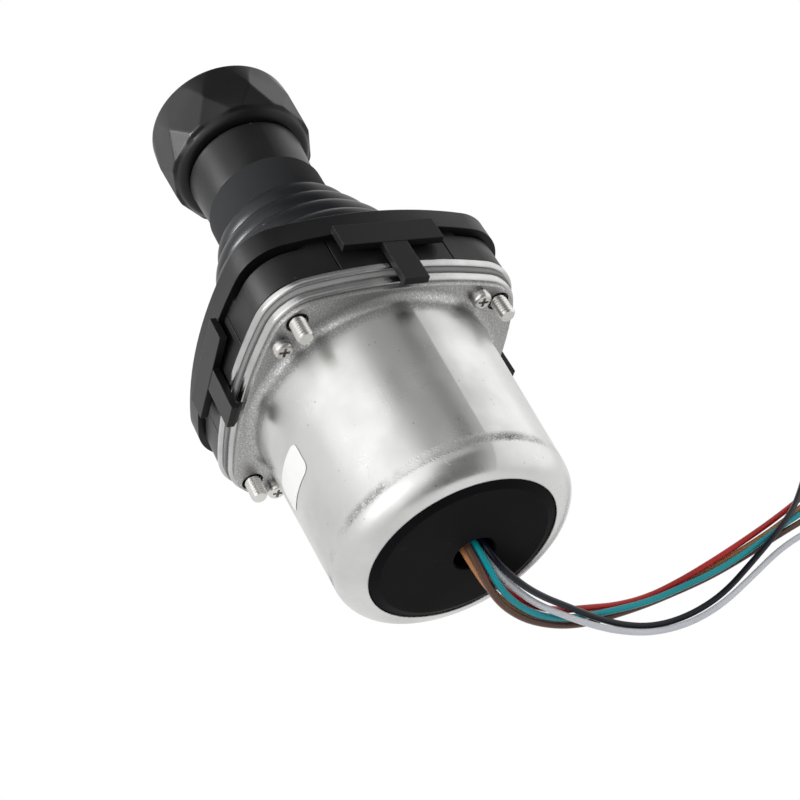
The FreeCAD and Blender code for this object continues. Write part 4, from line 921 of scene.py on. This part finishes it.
@dataclass
class Knob:
    """Faceted knob whose facets run out into a round top edge and a round foot."""

    shop: Workshop
    bottom: float = 77.4
    top: float = 96.0
    radius: float = 20.3
    top_radius: float = 19.35
    low_apothem: float = 18.3
    skirt_slope: float = 0.42
    belt_drop: float = 9.2
    edge_round: float = 2.2
    round_steps: int = 6
    row_step: float = 0.4
    rows_up: int = 39
    rim_drops: tuple[float, float] = (0.5, 0.2)
    crown: float = 1.4
    crown_rings: tuple[float, ...] = (19.25, 18.95, 18.2, 16.5, 14.02)
    cavity: float = 15.2
    roof: float = 90.6
    bore: float = 3.05
    cap_seat: float = 93.6
    facets: int = 10
    turn: float = 1.0
    steps: int = 360

    def facet_reach(self, apothem: float, angle: float, turn: float) -> float:
        """Distance from the axis to the nearest flat of a regular prism at an angle."""
        pitch = 2 * math.pi / self.facets
        away = (angle - math.radians(turn) + pitch / 2) % pitch - pitch / 2
        return apothem / math.cos(away)

    def flank(self, height: float, angle: float) -> float:
        """Outer radius at a height and an angle."""
        rise = height - self.bottom
        past_belt = max(0.0, height - self.top + self.belt_drop) / self.belt_drop
        upright = self.radius * math.cos(math.pi / self.facets)
        low_slope = (self.radius - self.low_apothem) / (self.top - self.belt_drop - self.bottom)
        reach = min(self.radius - (self.radius - self.top_radius) * past_belt,
                    self.low_apothem + self.skirt_slope * rise,
                    self.facet_reach(upright, angle, self.turn + 180 / self.facets),
                    self.facet_reach(self.low_apothem + low_slope * rise, angle, self.turn))
        if rise < self.edge_round:
            drop = self.edge_round - math.sqrt(max(0.0, self.edge_round ** 2 - (self.edge_round - rise) ** 2))
            reach = min(reach, self.low_apothem - drop)
        return reach

    def build(self) -> None:
        """Builds the knob's body as one closed ring of rows."""
        rows: list[list[tuple[float, float]]] = []
        angles = [2 * math.pi * step / self.steps for step in range(self.steps)]

        def ring(radius: float, height: float) -> None:
            """Adds a round row."""
            rows.append([(radius, height)] * self.steps)

        ring(self.cavity, self.bottom)
        heights = [self.bottom + self.edge_round * (1 - math.cos(math.pi / 2 * step / self.round_steps))
                   for step in range(self.round_steps + 1)]
        heights += [self.bottom + self.edge_round + self.row_step * step for step in range(1, self.rows_up + 1)]
        heights += [self.top - drop for drop in self.rim_drops]
        for height in heights:
            rows.append([(self.flank(height, angle), height) for angle in angles])
        ball = (self.radius ** 2 + self.crown ** 2) / (2 * self.crown)
        for radius in self.crown_rings:
            ring(radius, self.top + self.crown - ball + math.sqrt(ball ** 2 - radius ** 2))
        for radius, height in ((self.crown_rings[-1], self.cap_seat), (self.bore, self.cap_seat),
                               (self.bore, self.roof), (self.cavity, self.roof)):
            ring(radius, height)
        verts = [standing(radius * math.cos(angle), radius * math.sin(angle), height)
                 for row in rows for angle, (radius, height) in zip(angles, row)]
        piece = new_mesh("knob_shell", verts, bands(len(rows), self.steps, True), Shade.BY_ANGLE)
        self.shop.dress(piece, "knob_plastic")
        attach(piece, "knob")
        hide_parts("knob_body")
        LOG.info("knob built")


@dataclass
class MountingScrews:
    """Corner screws with real threads on their free ends."""

    shop: Workshop
    pitch_square: float = 50.0
    radius: float = 2.0
    thread: float = 0.7
    depth: float = 0.38
    tip: float = -11.7
    runout: float = -6.5
    shank: float = 1.8
    seat: float = 6.2
    head_radius: float = 3.4
    head_height: float = 2.2
    head_round: float = 0.5
    chamfer: float = 0.45
    flank_slope: float = 1.15
    sides: int = 28
    row_step: float = 0.07
    shank_gap: float = 0.02

    def profile_radius(self, height: float, angle: float) -> float:
        """Radius of the thread at a height and angle."""
        if height > self.runout:
            return self.shank
        turn = ((height - self.tip) / self.thread - angle / (2 * math.pi)) % 1.0
        ridge = abs(turn - 0.5) * 2
        radius = self.radius - self.depth * min(1.0, ridge * self.flank_slope)
        return min(radius, self.radius - self.chamfer + (height - self.tip))

    def screw(self, x: float, y: float) -> tuple[list[Vector], list[Face]]:
        """Mesh of one screw.

        Args:
            x: Standing place of its axis.
            y: Standing place of its axis.

        Returns:
            Points and faces.
        """
        count = int((self.runout - self.tip) / self.row_step) + 1
        heights = [self.tip + self.row_step * step for step in range(count)]
        heights += [self.runout + self.shank_gap, self.seat]
        angles = [2 * math.pi * step / self.sides for step in range(self.sides)]
        rings = [[self.profile_radius(height, angle) for angle in angles] for height in heights]
        head_top = self.seat + self.head_height
        for radius, height in ((self.head_radius, self.seat), (self.head_radius, head_top - self.head_round),
                               (self.head_radius - self.head_round, head_top)):
            rings.append([radius] * self.sides)
            heights.append(height)
        verts = [standing(x + radius * math.cos(angle), y + radius * math.sin(angle), height)
                 for height, ring in zip(heights, rings) for angle, radius in zip(angles, ring)]
        return verts, bands(len(rings), self.sides, False) + end_caps(len(rings), self.sides)

    def build(self) -> None:
        """Builds the four screws as one piece."""
        half = self.pitch_square / 2
        verts: list[Vector] = []
        faces: list[Face] = []
        for x, y in ((half, half), (half, -half), (-half, half), (-half, -half)):
            more_verts, more_faces = self.screw(x, y)
            start = len(verts)
            verts += more_verts
            faces += [tuple(index + start for index in face) for face in more_faces]
        piece = new_mesh("threaded_screws", verts, faces, Shade.BY_ANGLE)
        self.shop.dress(piece, "zinc_screw")
        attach(piece, "base")
        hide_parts("mounting_screws")
        LOG.info("threaded screws built")


@dataclass
class CanLabel:
    """Small bare paper label on the can's wall."""

    shop: Workshop
    low: float = -30.6
    high: float = -22.8
    start: float = -108.0
    end: float = -78.0
    lift: float = 0.08
    corner: float = 0.45
    corner_bite: float = 0.22
    wall_end: float = -48.8
    wall_length: float = 40.3
    wall_radius: float = 28.0
    wall_draft: float = 1.2
    rows: int = 16
    columns: int = 24

    def build(self) -> None:
        """Lays the label on the drafted wall, with its corners rounded."""
        verts = []
        for row in range(self.rows + 1):
            across_can = 2 * row / self.rows - 1
            height = (self.low + self.high) / 2 + across_can * (self.high - self.low) / 2
            radius = self.wall_radius + self.wall_draft * (height - self.wall_end) / self.wall_length + self.lift
            past = max(0.0, (abs(across_can) - 1 + self.corner) / self.corner)
            share = 1 - self.corner_bite * (1 - math.sqrt(max(0.0, 1 - past * past)))
            for column in range(self.columns + 1):
                turn = (2 * column / self.columns - 1) * share
                angle = math.radians((self.start + self.end) / 2 + turn * (self.end - self.start) / 2)
                verts.append(standing(radius * math.cos(angle), radius * math.sin(angle), height))
        across = self.columns + 1
        faces = [(r * across + c, r * across + c + 1, (r + 1) * across + c + 1, (r + 1) * across + c)
                 for r in range(self.rows) for c in range(self.columns)]
        piece = new_mesh("can_label", verts, faces, Shade.SMOOTH)
        self.shop.dress(piece, "paper_label", "connector_white")
        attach(piece, "base")
        LOG.info("label laid")


def main() -> None:
    """Builds the scene in order."""
    logging.basicConfig(level=logging.INFO)
    shop = Workshop()
    studio = Studio()
    studio.build()
    Leads(shop).build()
    shop.dress_nodes()
    Boot(shop).build()
    Knob(shop).build()
    MountingScrews(shop).build()
    CanLabel(shop).build()
    studio.favour_blacks()


if __name__ == "__main__":
    main()
